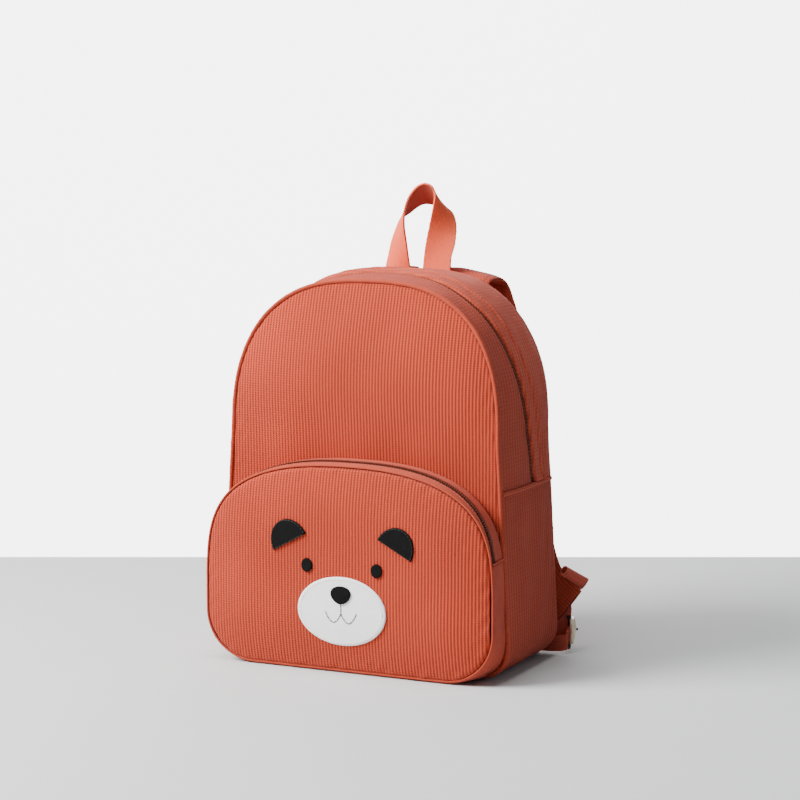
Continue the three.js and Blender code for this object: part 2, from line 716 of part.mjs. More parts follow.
function buildLowerWeb(name, side) {
  const upright = () => new THREE.Vector3(0, 0, 1);
  const near = -(BUCKLE_LONG - BUCKLE_RAIL) / 2;
  const out = BUCKLE_THICK / 2 + GAP + WEB / 2 + 0.3;
  // from the back's lower corner outwards, through the buckle and round its bar
  const adjuster = [
    { x: 88, y: 106.9, z: 9.4 },
    { x: 104, y: 107, z: 9.4 },
    { x: 116, y: 107.8, z: 10 },
    buckleSpot(near - 3.4, -out - 0.7, -4.6),
    buckleSpot(near + 0.4, -out - 0.3, -2.2),
    buckleSpot(near + 3, -out + 1.3, -0.7),
    buckleSpot(-4.4, 0, -0.5),
    buckleSpot(-3, out - 1.2, -0.5),
    buckleSpot(0, out, -0.5),
    buckleSpot(3, out - 1.2, -0.5),
    buckleSpot(4.4, 0.6, -0.5),
  ];
  bag.add(meshFrom(`adjuster_web_${name}`, WEBBING, band({
    path: sided(adjuster, side), steps: 18, across: upright,
    width: () => WEB_WIDTH - 4.6, thick: () => WEB,
  }), 0.8));
  // from behind the strap's end down and round the far rail
  const lock = [
    { x: 110, y: 124.4, z: 51 },
    { x: 116.5, y: 123.9, z: 42.5 },
    { x: 120.5, y: 124.6, z: 34 },
    buckleSpot(-near - 2.4, -out - 1.3, 4),
    buckleSpot(-near + 3, -out, 1),
    buckleSpot(-near + 5, 0, 0),
    buckleSpot(-near + 3, out, 0),
    buckleSpot(-near, out + 0.4, 0),
    buckleSpot(-near - 2.6, out, 0),
  ];
  const turned = (t) => new THREE.Vector3(side * 0.6 * clamp(1 - t * 4, -0.08, 1), 0, 1);
  bag.add(meshFrom(`lock_web_${name}`, WEBBING, band({
    path: sided(lock, side), steps: 16, across: turned,
    width: () => WEB_WIDTH - 4, thick: () => WEB,
  }), 0.8));
  // loose end of the webbing behind the strap, its tip rolled forwards
  const tail = [
    { x: 107, y: 128.6, z: 36 },
    { x: 114, y: 128, z: 43 },
    { x: 121.5, y: 127, z: 51 },
  ];
  for (let i = 0; i <= 9; i += 1) {
    const angle = THREE.MathUtils.degToRad(90 - i * 34);
    const reach = TAIL_ROLL.radius - (i > 7 ? 0.4 * (i - 7) : 0);
    tail.push({
      x: TAIL_ROLL.x + 0.6 * Math.cos(angle) * reach,
      y: TAIL_ROLL.y + Math.sin(angle) * reach,
      z: TAIL_ROLL.z + 0.8 * Math.cos(angle) * reach,
    });
  }
  bag.add(meshFrom(`tail_web_${name}`, WEBBING, band({
    path: sided(tail, side), steps: 22, across: () => new THREE.Vector3(side * 0.8, 0, -0.6),
    width: () => WEB_WIDTH + 2, thick: () => WEB,
  }), 0.8));
}

function buildBuckle(name, side) {
  const outer = new THREE.Shape();
  const long = BUCKLE_LONG / 2;
  const tall = BUCKLE_TALL / 2;
  const round = 3.2;
  outer.moveTo(-long + round, -tall);
  outer.lineTo(long - round, -tall);
  outer.quadraticCurveTo(long, -tall, long, -tall + round);
  outer.lineTo(long, tall - round);
  outer.quadraticCurveTo(long, tall, long - round, tall);
  outer.lineTo(-long + round, tall);
  outer.quadraticCurveTo(-long, tall, -long, tall - round);
  outer.lineTo(-long, -tall + round);
  outer.quadraticCurveTo(-long, -tall, -long + round, -tall);
  const hole = new THREE.Path();
  const holeLong = long - BUCKLE_RAIL;
  const holeTall = tall - BUCKLE_RAIL;
  hole.moveTo(-holeLong, -holeTall);
  hole.lineTo(-holeLong, holeTall);
  hole.lineTo(holeLong, holeTall);
  hole.lineTo(holeLong, -holeTall);
  hole.lineTo(-holeLong, -holeTall);
  outer.holes.push(hole);
  const frame = new THREE.ExtrudeGeometry(outer, {
    depth: BUCKLE_THICK, bevelEnabled: false, curveSegments: 3,
  });
  frame.translate(0, 0, -BUCKLE_THICK / 2);
  const drill = new THREE.CylinderGeometry(
    BAR_RADIUS + 0.3, BAR_RADIUS + 0.3, BUCKLE_TALL * 2, 12);
  const bored = manifoldFrom(frame).subtract(manifoldFrom(drill));
  const heads = tall + GAP;
  const bar = new THREE.LatheGeometry([
    new THREE.Vector2(0, -heads - 2),
    new THREE.Vector2(BAR_HEAD_RADIUS, -heads - 2),
    new THREE.Vector2(BAR_HEAD_RADIUS, -heads),
    new THREE.Vector2(BAR_RADIUS, -heads),
    new THREE.Vector2(BAR_RADIUS, heads),
    new THREE.Vector2(BAR_HEAD_RADIUS, heads),
    new THREE.Vector2(BAR_HEAD_RADIUS, heads + 2),
    new THREE.Vector2(0, heads + 2),
  ], 12);
  const turn = THREE.MathUtils.degToRad(90 + BUCKLE.turn);
  const parts = [
    [`buckle_frame_${name}`, geometryFrom(bored), PALE_GOLD, 0.4, 0.6],
    [`buckle_bar_${name}`, geometryFrom(manifoldFrom(bar)), BLACK, 0.6, 0],
  ];
  for (const [part, geometry, colour, rough, metal] of parts) {
    geometry.rotateX(Math.PI / 2);
    geometry.rotateZ(turn * 1);
    const mesh = meshFrom(part, colour, geometry, rough, metal);
    mesh.position.set(BUCKLE.x * side, BUCKLE.y, BUCKLE.z);
    if (side < 0) mesh.rotation.z = -2 * turn;
    bag.add(mesh);
  }
}

// flat piece of felt on the pocket's front
function felt(name, colour, loop, middle, steps, lift) {
  bag.add(meshFrom(name, colour, sheet({
    loop, middle, rings: [1, 0.55], steps, thick: FELT,
    outerY: (x, z) => pocketPanelY(x, z) - lift - FELT,
  }), 0.95));
}

function oval({ x, z, wide, tall }, side = 1) {
  return (share) => {
    const angle = share * Math.PI * 2;
    return [x * side + wide * Math.cos(angle), z + tall * Math.sin(angle)];
  };
}

function buildFace() {
  felt('muzzle', WHITE, oval(MUZZLE), [MUZZLE.x, MUZZLE.z], 28, GAP);
  felt('nose', BLACK, (share) => {
    const angle = share * Math.PI * 2;
    const narrow = 1 - 0.3 * (1 - Math.sin(angle)) / 2;
    return [NOSE.x + NOSE.wide * Math.cos(angle) * narrow, NOSE.z + NOSE.tall * Math.sin(angle)];
  }, [NOSE.x, NOSE.z], 16, GAP * 2 + FELT);
  for (const [name, side] of [['right', 1], ['left', -1]]) {
    felt(`eye_${name}`, BLACK, oval(EYE, side), [EYE.x * side, EYE.z], 14, GAP);
    const tilt = THREE.MathUtils.degToRad(EAR.tilt) * side;
    // half-round ear, its straight side turned to the head
    felt(`ear_${name}`, BLACK, (share) => {
      const round = share < 0.7;
      const angle = round ? (share / 0.7) * Math.PI : Math.PI;
      const flat = round ? Math.cos(angle) : -1 + (2 * (share - 0.7)) / 0.3;
      const x = EAR.wide * flat;
      const z = round ? EAR.tall * Math.sin(angle) : 0;
      return [
        EAR.x * side + x * Math.cos(tilt) + z * Math.sin(tilt),
        EAR.z - x * Math.sin(tilt) + z * Math.cos(tilt),
      ];
    }, [EAR.x * side + 6 * Math.sin(tilt), EAR.z + 6 * Math.cos(tilt)], 20, GAP);
  }
}

buildBody();
buildPocket();
buildSliders();
buildHandle();
buildFace();
for (const [name, side] of [['right', 1], ['left', -1]]) {
  buildStrap(name, side);
  buildLowerWeb(name, side);
  buildBuckle(name, side);
}

export default bag;
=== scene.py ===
import math

import bpy
import numpy as np
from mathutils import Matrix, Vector


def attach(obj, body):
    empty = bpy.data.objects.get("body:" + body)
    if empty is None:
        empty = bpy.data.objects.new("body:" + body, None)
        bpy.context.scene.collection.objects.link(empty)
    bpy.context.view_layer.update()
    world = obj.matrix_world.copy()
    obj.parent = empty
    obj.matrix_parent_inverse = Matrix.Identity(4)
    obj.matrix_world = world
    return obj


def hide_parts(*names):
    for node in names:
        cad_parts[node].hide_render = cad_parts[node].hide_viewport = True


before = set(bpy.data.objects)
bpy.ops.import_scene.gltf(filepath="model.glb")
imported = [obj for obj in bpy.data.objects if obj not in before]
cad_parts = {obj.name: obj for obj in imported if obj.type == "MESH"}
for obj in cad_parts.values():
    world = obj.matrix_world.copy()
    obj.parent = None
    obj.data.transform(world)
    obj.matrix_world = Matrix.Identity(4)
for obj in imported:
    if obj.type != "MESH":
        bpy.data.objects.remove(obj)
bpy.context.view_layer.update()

# The camera stands a little to the right of the bag's front and only just above its middle,
# so it sees the front, the right side and a little of the top, as the photograph does.
FOCUS = Vector((0.0327, -0.052, 0.2117))
VIEW_TURN = math.radians(26)
VIEW_RISE = math.radians(6.836)
VIEW_DISTANCE = 1.9
LENS = 111.38
towards_camera = Vector((
    math.sin(VIEW_TURN) * math.cos(VIEW_RISE),
    -math.cos(VIEW_TURN) * math.cos(VIEW_RISE),
    math.sin(VIEW_RISE),
))
bpy.ops.object.camera_add(location=FOCUS + towards_camera * VIEW_DISTANCE)
camera = bpy.context.object
camera.rotation_euler = (-towards_camera).to_track_quat("-Z", "Y").to_euler()
camera.data.sensor_width = 36
camera.data.lens = LENS
bpy.context.scene.camera = camera


# The bag stands on a plain pale table that ends a hand's length behind it, before a
# light wall further back. Both are matt.
def node(tree, kind, inputs=(), **options):
    """One shader node with its options, and inputs given as values or other nodes' outputs."""
    made = tree.nodes.new("ShaderNode" + kind)
    for option, value in options.items():
        setattr(made, option, value)
    for socket, value in dict(inputs).items():
        if isinstance(value, bpy.types.NodeSocket):
            tree.links.new(value, made.inputs[socket])
        else:
            made.inputs[socket].default_value = value
    return made


def sums(tree, operation, *values):
    """The result of one step of arithmetic in a material."""
    return node(tree, "Math", enumerate(values), operation=operation).outputs[0]


def grain(tree, scale, detail=2.0):
    """A soft random pattern fixed to the object."""
    place = node(tree, "TexCoord").outputs["Object"]
    return node(tree, "TexNoise", {"Vector": place, "Scale": scale, "Detail": detail}).outputs["Fac"]


def blended(tree, amount, first, second, mode="MIX"):
    """Two colours mixed by an amount."""
    mixer = node(tree, "Mix", {"Factor": amount}, data_type="RGBA", blend_type=mode)
    for socket, value in ((mixer.inputs[6], first), (mixer.inputs[7], second)):
        if isinstance(value, bpy.types.NodeSocket):
            tree.links.new(value, socket)
        else:
            socket.default_value = (*value, 1)
    return mixer.outputs[2]


def new_material(name, **surface):
    """An empty material and its node tree; surface sets the shader's own values."""
    material = bpy.data.materials.new(name)
    material.use_nodes = True
    shader = material.node_tree.nodes["Principled BSDF"]
    for socket, value in surface.items():
        shader.inputs[socket.replace("_", " ")].default_value = value
    return material, material.node_tree, shader


def dress(tree, shader, colour, relief, depth, strength):
    """Joins a colour and a relief, its depth in metres, to the shader."""
    tree.links.new(colour, shader.inputs["Base Color"])
    bump = node(tree, "Bump", {"Height": relief, "Distance": depth, "Strength": strength})
    tree.links.new(bump.outputs[0], shader.inputs["Normal"])


def speckled(name, dark, light, size, relief, depth, strength, **surface):
    """A plain surface whose colour and fine relief vary a little at random."""
    material, tree, shader = new_material(name, **surface)
    dress(tree, shader, blended(tree, grain(tree, size), dark, light), grain(tree, relief), depth, strength)
    return material


PAINT = {
    "size": 14.0, "relief": 300.0, "depth": 0.0002, "strength": 0.2,
    "Roughness": 0.8, "Specular_IOR_Level": 0.25,
}
TABLE_BEHIND = 0.484
WALL_BEHIND = 2.4
WALL_GLOW = 5.2
line_of_sight = Vector((-math.sin(VIEW_TURN), math.cos(VIEW_TURN), 0))
bpy.ops.object.select_all(action="DESELECT")
bpy.ops.mesh.primitive_plane_add(size=1)
table = bpy.context.object
table.name = "table"
table.scale = (7, 5, 1)
table.rotation_euler.z = VIEW_TURN
table.location = Vector((FOCUS.x, FOCUS.y, 0)) + line_of_sight * (TABLE_BEHIND - 2.5)
bpy.ops.object.transform_apply(location=True, rotation=True, scale=True)
table.data.materials.append(speckled("pale table", (0.58, 0.58, 0.575), (0.6, 0.6, 0.595), **PAINT))

bpy.ops.object.select_all(action="DESELECT")
bpy.ops.mesh.primitive_plane_add(size=1)
wall = bpy.context.object
wall.name = "wall"
wall.scale = (2.4, 1.9, 1)
wall.rotation_euler = (math.radians(90), 0, VIEW_TURN)
wall.location = Vector((FOCUS.x, FOCUS.y, 0.2)) + line_of_sight * WALL_BEHIND
bpy.ops.object.transform_apply(location=True, rotation=True, scale=True)
wall_paint = speckled("light wall", (0.71, 0.71, 0.71), (0.72, 0.72, 0.72), **PAINT)
wall_shader = wall_paint.node_tree.nodes["Principled BSDF"]
wall_shader.inputs["Emission Color"].default_value = (1, 1, 1, 1)
wall_shader.inputs["Emission Strength"].default_value = WALL_GLOW
wall.data.materials.append(wall_paint)

# Soft studio light: a large lamp up in front to the left, a wide one overhead, and a faint
# one on the right that keeps the shaded side readable.
LAMPS = [
    {"name": "key_lamp", "turn": -46, "rise": 36, "away": 1.9, "size": 1.0, "power": 105},
    {"name": "top_lamp", "turn": -20, "rise": 78, "away": 1.7, "size": 1.0, "power": 26},
    {"name": "side_lamp", "turn": 148, "rise": 14, "away": 2.2, "size": 1.0, "power": 4.5},
]
ROOM_LIGHT = 0.19
for lamp in LAMPS:
    turn = math.radians(lamp["turn"])
    rise = math.radians(lamp["rise"])
    outwards = Vector((math.sin(turn) * math.cos(rise), -math.cos(turn) * math.cos(rise), math.sin(rise)))
    bpy.ops.object.light_add(type="AREA", location=Vector((0, 0, 0.16)) + outwards * lamp["away"])
    light = bpy.context.object
    light.name = lamp["name"]
    light.rotation_euler = (-outwards).to_track_quat("-Z", "Y").to_euler()
    light.data.size = lamp["size"]
    light.data.energy = lamp["power"]
world = bpy.data.worlds.new("room")
world.use_nodes = True
world.node_tree.nodes["Background"].inputs[0].default_value = (0.72, 0.88, 1, 1)
world.node_tree.nodes["Background"].inputs[1].default_value = ROOM_LIGHT
bpy.context.scene.world = world


# The main cloth: a soft ribbed cotton in terracotta. Its ribs are raised, with a paler crest and a darker
# knitted furrow whose darkness is painted shade; each piece is cut so that they run up it or along it.
COTTON = {"Roughness": 0.9, "Specular_IOR_Level": 0.2, "Sheen_Weight": 0.06, "Sheen_Roughness": 0.5}


def weave_counts(tree):
    """The count of ribs across and of ribs along, which each sheet of cloth carries."""
    weave = node(tree, "SeparateXYZ", {0: node(tree, "UVMap", uv_map="weave").outputs[0]})
    return weave.outputs[0], weave.outputs[1]


def waves(tree, value, turns=1.0):
    """A cosine of a value, with a number of turns to each whole step of it."""
    return sums(tree, "COSINE", sums(tree, "MULTIPLY", value, 2 * math.pi * turns))


def clouds(tree, scale, low, high):
    """Broad soft patches between two values."""
    return node(tree, "MapRange", {0: grain(tree, scale), 1: 0.35, 2: 0.65, 3: low, 4: high}).outputs[0]


def clamped(tree, value):
    return node(tree, "Clamp", {0: value}).outputs[0]


def ribbed_cloth(name, crest, shaded_furrow):
    material, tree, shader = new_material(name, **COTTON)
    across, along = weave_counts(tree)
    crests = sums(tree, "MULTIPLY_ADD", waves(tree, across), 0.5, 0.5)
    from_crest = sums(tree, "ABSOLUTE", sums(tree, "SUBTRACT", sums(tree, "FRACT", across), 0.5))
    knit = waves(tree, sums(tree, "MULTIPLY_ADD", from_crest, 1.1, sums(tree, "MULTIPLY", along, 1.45)))
    fibres = grain(tree, 900.0, 3.0)
    shading = sums(tree, "MULTIPLY_ADD", knit, 0.26, sums(tree, "MULTIPLY", crests, 0.76))
    shading = sums(tree, "MULTIPLY_ADD", fibres, 0.5, sums(tree, "SUBTRACT", shading, 0.2))
    shading = clamped(tree, shading)
    cloudy = clouds(tree, 11.0, 0.93, 1.05)
    tint = node(tree, "CombineColor", {0: cloudy, 1: cloudy, 2: cloudy}).outputs[0]
    # Between crest and furrow the colour darkens towards the furrow colour: painted shade in the grooves.
    colour = blended(tree, 1.0, blended(tree, shading, shaded_furrow, crest), tint, "MULTIPLY")
    relief = sums(tree, "MULTIPLY_ADD", knit, 0.35, fibres)
    dress(tree, shader, colour, relief, 0.0004, 0.55)
    return material


def smooth_table(places, values, at):
    """Values between the rows of a table, on a smooth curve through them."""
    places, values, at = (np.asarray(v, float) for v in (places, values, at))
    slopes = np.gradient(values, places)
    i = np.clip(np.searchsorted(places, at) - 1, 0, len(places) - 2)
    span = places[i + 1] - places[i]
    t = np.clip((at - places[i]) / span, 0, 1)
    return (
        values[i] * (1 + 2 * t) * (1 - t) ** 2 + values[i + 1] * t * t * (3 - 2 * t)
        + span * (slopes[i] * t * (1 - t) ** 2 - slopes[i + 1] * t * t * (1 - t))
    )


def uneven(first, second, size, seed):
    """A soft random wave between about -1 and 1 over two lengths in millimetres."""
    rng = np.random.default_rng(seed)
    total = 0
    for _ in range(7):
        turn, phase = rng.uniform(0, 2 * math.pi, 2)
        count = rng.uniform(0.6, 1.5) * 2 * math.pi / size
        total = total + np.sin(count * (first * math.cos(turn) + second * math.sin(turn)) + phase)
    return total / 3.2


class Outline:
    """A closed arch in the X-Z plane, from the middle of the base over the right side and
    the top to the left side. A share is a part of the way round it."""

    def __init__(self, half_width, top, base, shoulder, taper, corner, flat, rounded):
        corner_x = half_width + taper * (shoulder - base) - corner
        turn = np.linspace(0, math.pi / 2, 25)
        corner_z = base + corner * (1 - np.cos(turn))
        side_z = np.linspace(base + corner, shoulder, 14)[1:-1]
        arc = np.linspace(0, math.pi / 2, 100)
        arc_x = half_width * np.cos(arc) ** (2 / flat)
        arc_x[-1] = 0
        x = np.concatenate([
            [0], corner_x + corner * np.sin(turn) - taper * (corner_z - base),
            half_width + taper * (shoulder - side_z), arc_x])
        z = np.concatenate([
            [base], corner_z, side_z, shoulder + (top - shoulder) * np.sin(arc) ** (2 / rounded)])
        self.x = np.concatenate([x, -x[-2::-1]])
        self.z = np.concatenate([z, z[-2::-1]])
        self.ways = np.concatenate([[0], np.cumsum(np.hypot(np.diff(self.x), np.diff(self.z)))])
        self.total = self.ways[-1]

    def spot(self, share):
        way = np.mod(share, 1) * self.total
        return np.interp(way, self.ways, self.x), np.interp(way, self.ways, self.z)

    def at(self, share, out):
        """Places at shares of the way round, moved outwards."""
        x, z = self.spot(share)
        x0, z0 = self.spot(share - 0.004)
        x1, z1 = self.spot(share + 0.004)
        length = np.hypot(x1 - x0, z1 - z0)
        return x + (z1 - z0) / length * out, z - (x1 - x0) / length * out

    def share_at(self, height):
        """Share where the right side reaches a height."""
        shares = np.linspace(0.05, 0.5, 800)
        return float(np.interp(height, self.spot(shares)[1], shares))

    def inside(self, x, z):
        """Distance from places inside to the nearest edge."""
        nearest = np.full(x.shape, 1e9)
        for i in range(len(self.x) - 1):
            ax, az = self.x[i], self.z[i]
            dx, dz = self.x[i + 1] - ax, self.z[i + 1] - az
            part = np.clip(((x - ax) * dx + (z - az) * dz) / (dx * dx + dz * dz + 1e-12), 0, 1)
            nearest = np.minimum(nearest, np.hypot(x - ax - dx * part, z - az - dz * part))
        return nearest

    def heights(self, x, inset):
        """Lowest and highest place over each x, at a distance inside the outline."""
        shares = np.linspace(0, 0.5, 700)
        edge_x, edge_z = self.at(shares, -inset)
        widest = int(np.argmax(edge_x))
        low = np.interp(np.abs(x), edge_x[:widest + 1], edge_z[:widest + 1])
        high = np.interp(np.abs(x), edge_x[widest:][::-1], edge_z[widest:][::-1])
        return low, high


BODY = Outline(half_width=115, top=302, base=0, shoulder=184, taper=0.057, corner=26, flat=2.656,
               rounded=2.412)
DEPTH = 104
RIB = 2.68
RIB_HIGH = 0.26
# How far the front leans back at the top, how much higher the back is, how far the sides belly.
TIPPED = 9.5
BACK_RISE = 6
BELLY = 2.5
# Height and share of the depth of each dent, how tall and wide it is, and how deep.
SOFT_DENTS = (
    (168, 0.8, 16, 0.16, 1.6), (152, 0.62, 10, 0.14, 1.1),
    (95, 0.45, 26, 0.2, 1.4), (40, 0.7, 22, 0.18, 1.2),
)
# Height and share of the depth of each fold's middle, its slope, its reach and how high it is.
SOFT_FOLDS = ((92, 0.84, 0.16, 34, 0.9), (36, 0.8, 0.55, 22, 0.8))
FOLD_WIDE = 5.5


def lean(z):
    """How far the upper part has come from upright, 0 at the pocket and 1 near the top."""
    return (np.clip(z - 155, 0, 160) / 145) ** 2


def body_wall(share, depth, out):
    """The side, base and top walls: share of the way round, share of the depth, height off them."""
    flat_z = BODY.spot(share)[1]
    belly = BELLY * np.sin(math.pi * np.clip(depth, 0, 1))
    for at_z, at_depth, tall, wide, dent in SOFT_DENTS:
        belly = belly - dent * np.exp(-((flat_z - at_z) / tall) ** 2 - ((depth - at_depth) / wide) ** 2)
    for at_z, at_depth, slope, reach, high in SOFT_FOLDS:
        across = (depth - at_depth) * DEPTH - slope * (flat_z - at_z)
        belly = belly + high * np.exp(-(across / FOLD_WIDE) ** 2 - ((flat_z - at_z) / reach) ** 2)
    drawn_in = np.clip(depth, 0, 1) * (1.4 + 1.6 * np.exp(-((flat_z - 272) / 30) ** 2))
    x, z = BODY.at(share, out - drawn_in + belly * np.clip((flat_z - 20) / 60, 0, 1))
    y = TIPPED * lean(flat_z) * (1 - depth) + DEPTH * depth
    z = z + BACK_RISE * lean(flat_z) * np.clip(depth, 0, 1)
    return np.stack(np.broadcast_arrays(x, y, z), -1)


def lay_cloth(name, places, weave, thick, finish):
    """A sheet of cloth through rows of places in millimetres from the front seam; weave counts
    the ribs across and along. Sheets that meet themselves are joined."""
    rows, columns = places.shape[:2]
    bpy.ops.object.select_all(action="DESELECT")
    bpy.ops.mesh.primitive_grid_add(x_subdivisions=columns - 1, y_subdivisions=rows - 1, size=1)
    piece = bpy.context.object
    piece.name = piece.data.name = name
    mesh = piece.data
    metres = (np.maximum(places, (-999, -999, 0)) - (0, DEPTH / 2, 0)) / 1000
    mesh.vertices.foreach_set("co", metres.reshape(-1))
    corners = np.empty(len(mesh.loops), np.int32)
    mesh.loops.foreach_get("vertex_index", corners)
    mesh.uv_layers[0].name = "weave"
    mesh.uv_layers["weave"].data.foreach_set("uv", weave.reshape(-1, 2)[corners].reshape(-1))
    bpy.ops.object.mode_set(mode="EDIT")
    bpy.ops.mesh.select_all(action="SELECT")
    bpy.ops.mesh.remove_doubles(threshold=0.00002)
    bpy.ops.object.mode_set(mode="OBJECT")
    if thick:
        shell = piece.modifiers.new("thickness", "SOLIDIFY")
        shell.thickness = thick / 1000
        shell.offset = -1
        bpy.ops.object.modifier_apply(modifier="thickness")
    bpy.ops.object.shade_smooth()
    mesh.materials.clear()
    mesh.materials.append(finish)
    return piece


def rows_between(low, high, count, near=(0, 0.5, 1.1, 2, 3.4)):
    """Heights of the rows over each column, closer together beside both edges."""
    squeeze = np.minimum(1, (high - low) / 24)
    start = low + np.outer(near, squeeze)
    end = high - np.outer(near[::-1], squeeze)
    steps = np.linspace(0, 1, count)[1:-1, None]
    return np.concatenate([start, start[-1] * (1 - steps) + end[0] * steps, end])


def rolled(distance, reach):
    """How far a turned-in edge has dropped, from its distance to the edge."""
    near = 1 - np.clip(distance / reach, 0, 1)
    return reach * (1 - np.sqrt(1 - near ** 2 * 0.98))


def domed(distance, reach):
    """Share of its full height that a filled panel has, from the distance to its edge."""
    return 1 - (1 - np.clip(distance / reach, 0, 1)) ** 2


def ride(piece, slot, *nodes):
    """The piece stands for these solids, which it hides, and rides on the bag; its slot is not used."""
    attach(piece, "root")
    if nodes:
        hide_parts(*nodes)


# A darker copy of the cloth with weaker ribs, in painted shade, for the shaded side bands and the shoulder
# straps.
TERRACOTTA_PAINTED_SHADE = ribbed_cloth("ribbed terracotta, in painted shade", (0.42, 0.058, 0.028), (0.27, 0.034, 0.016))
# A paler copy with weaker ribs, in painted shade that is lighter than the side's, for the back band and the
# flap where light from behind reaches.
TERRACOTTA_PAINTED_HALF_SHADE = ribbed_cloth("ribbed terracotta, in paler painted shade", (0.5, 0.076, 0.038), (0.33, 0.045, 0.022))
TERRACOTTA = ribbed_cloth("ribbed terracotta", (0.585, 0.061, 0.0225), (0.195, 0.022, 0.01))

# Front panel: one piece of ribbed cloth, ribs upright, its edge turned in under the seam cord
# all round. The filling pushes its upper half out; above the pocket it is pressed in.
# Height, and how far the front is pushed out there.
FRONT_BULGE = ((0, 1), (120, 1), (158, 2), (180, 3.6), (222, 8), (265, 7.5), (300, 5))
BULGE_REACH = 62


def front_y(x, z):
    """The front panel's smooth form."""
    bulge = smooth_table(*zip(*FRONT_BULGE), z)
    return TIPPED * lean(z) - bulge * domed(BODY.inside(x, z), BULGE_REACH)


def ribs_over(x):
    """Columns across a panel, four to a rib."""
    count = int(round(8 * x / RIB))
    return np.linspace(-x, x, count + 1)


def face_relief(x, z, edge, inwards, roll, wave_size, wave_high, wave_fade, pucker_size, seed, ribs_from=0):
    """How a panel's face departs from its smooth form: its edge rolled in, soft waves over it,
    small puckers along its seam, and its ribs. Edge is the distance to the edge."""
    wave = wave_high * uneven(x, z, wave_size, seed) * np.clip(edge / wave_fade, 0, 1)
    puckers = 0.3 * uneven(x, z, pucker_size, seed + 1) * np.exp(-edge / 9)
    ribs = RIB_HIGH * np.cos(2 * math.pi * x / RIB) * np.clip((edge - ribs_from) / 2.5, 0, 1)
    return inwards * (rolled(edge, roll) - ribs) + wave + puckers


def lay_panel(name, node_name, x, y, z, thick):
    """A panel of the main cloth with upright ribs."""
    places, weave = np.stack([x, y, z], -1), np.stack([x, z], -1) / RIB
    ride(lay_cloth(name, places, weave, thick, TERRACOTTA), "rib_cloth", node_name)


FRONT_HALF_WIDTH = 121.4
FRONT_INSET = 1.6
CLOTH_THICK = 1.4
x = ribs_over(FRONT_HALF_WIDTH)
low, high = BODY.heights(x, FRONT_INSET)
z = rows_between(low, high, 66)
x = np.broadcast_to(x, z.shape)
edge = BODY.inside(x, z) - FRONT_INSET
y = front_y(x, z) + face_relief(
    x, z, edge, 1, roll=1.9, wave_size=75, wave_high=0.55, wave_fade=30, pucker_size=13, seed=3)
lay_panel("front_panel_cloth", "front_panel", x, y, z, CLOTH_THICK)

# Back panel: the same cloth over thin wadding, against the wearer's back. Its edge is turned in
# under the cord of the back seam.
BACK_HALF_WIDTH = 118.6
BACK_INSET = 5
BACK_THICK = 1.6
BACK_BULGE = 4
x = ribs_over(BACK_HALF_WIDTH)[::-1]
low, high = BODY.heights(x, BACK_INSET)
z = rows_between(low, high, 60)
x = np.broadcast_to(x, z.shape)
edge = BODY.inside(x, z) - BACK_INSET
y = DEPTH + BACK_BULGE * domed(BODY.inside(x, z), BULGE_REACH) + face_relief(
    x, z, edge, -1, roll=2.6, wave_size=80, wave_high=0.5, wave_fade=30, pucker_size=13, seed=13)
z = z + BACK_RISE * lean(z)
lay_panel("back_panel_cloth", "back_panel", x, y, z, BACK_THICK)


# Zip bands and base band: strips of the same cloth carried round the bag between the two seams,
# ribs along them. The upper two are turned under beside the zip.
SEAM_SHARE = BODY.share_at(145)
SIDE_RIB = 4.3
# The zip's share of the depth, from the top (0) down to its ends (1).
ZIP_LINE = (
    (-0.15, 0.33), (0, 0.4), (0.15, 0.33), (0.3, 0.27), (0.45, 0.3), (0.6, 0.37), (0.8, 0.5), (1, 0.6),
)
FRONT_EDGE = 0.004
BACK_EDGE = 0.985


def down_from_top(share, end):
    """0 in the middle of the top and 1 at the share where a zip ends, on both sides."""
    return np.abs(np.mod(share, 1) - 0.5) / (0.5 - end)


def zip_depth(share):
    """The share of the depth where the main zip runs."""
    return smooth_table(*zip(*ZIP_LINE), down_from_top(share, SEAM_SHARE))


def zip_half(share):
    """Half the width of the slit between the bands: it gapes a little lower down."""
    return 0.022 + 0.014 * np.clip(down_from_top(share, SEAM_SHARE), 0, 1) ** 2


def edge_columns(count, width, near=(0, 0.35, 0.9, 1.7)):
    """Shares of a strip's width, closer together beside both edges."""
    near = np.array(near) / width
    return np.concatenate([near, np.linspace(near[-1], 1 - near[-1], count)[1:-1], 1 - near[::-1]])


TURN_REACH = 1.7


def wall_band(name, shares, front, back, rib, rib_high, turned, finish, thick=CLOTH_THICK, lift=0.0, seed=0,
              wall=body_wall, deep=DEPTH, total=BODY.total, count=None):
    """A strip of cloth on the bag's walls from one share of the depth to another; turned says how
    far its front and back edges are turned in."""
    width = float(np.mean((back - front) * deep))
    columns = edge_columns(count or max(6, int(width / rib * 4.6)), width)
    share = np.broadcast_to(shares[:, None], (len(shares), len(columns)))
    depth = front[:, None] + (back - front)[:, None] * columns
    from_front = (depth - front[:, None]) * deep
    from_back = (back[:, None] - depth) * deep
    from_edge = np.minimum(from_front, from_back)
    ripples = 0.35 * uneven(share * total, depth * deep, 34, seed + 40)
    out = lift + ripples * np.clip(from_edge / 8, 0, 1)
    for deep_in, distance in zip(turned, (from_front, from_back)):
        out = out - deep_in / TURN_REACH * rolled(distance, TURN_REACH)
    if rib_high:
        faded = np.clip(from_edge / 2.2, 0, 1)
        out = out + rib_high * np.cos(2 * math.pi * depth * deep / rib) * faded
    places = wall(share, depth, out)
    weave = np.stack([depth * deep / rib, share * total / rib], -1)
    return lay_cloth(name, places, weave, thick, finish)


def strip(value, like):
    """The same share of the depth all along."""
    return np.full(like.shape, float(value))


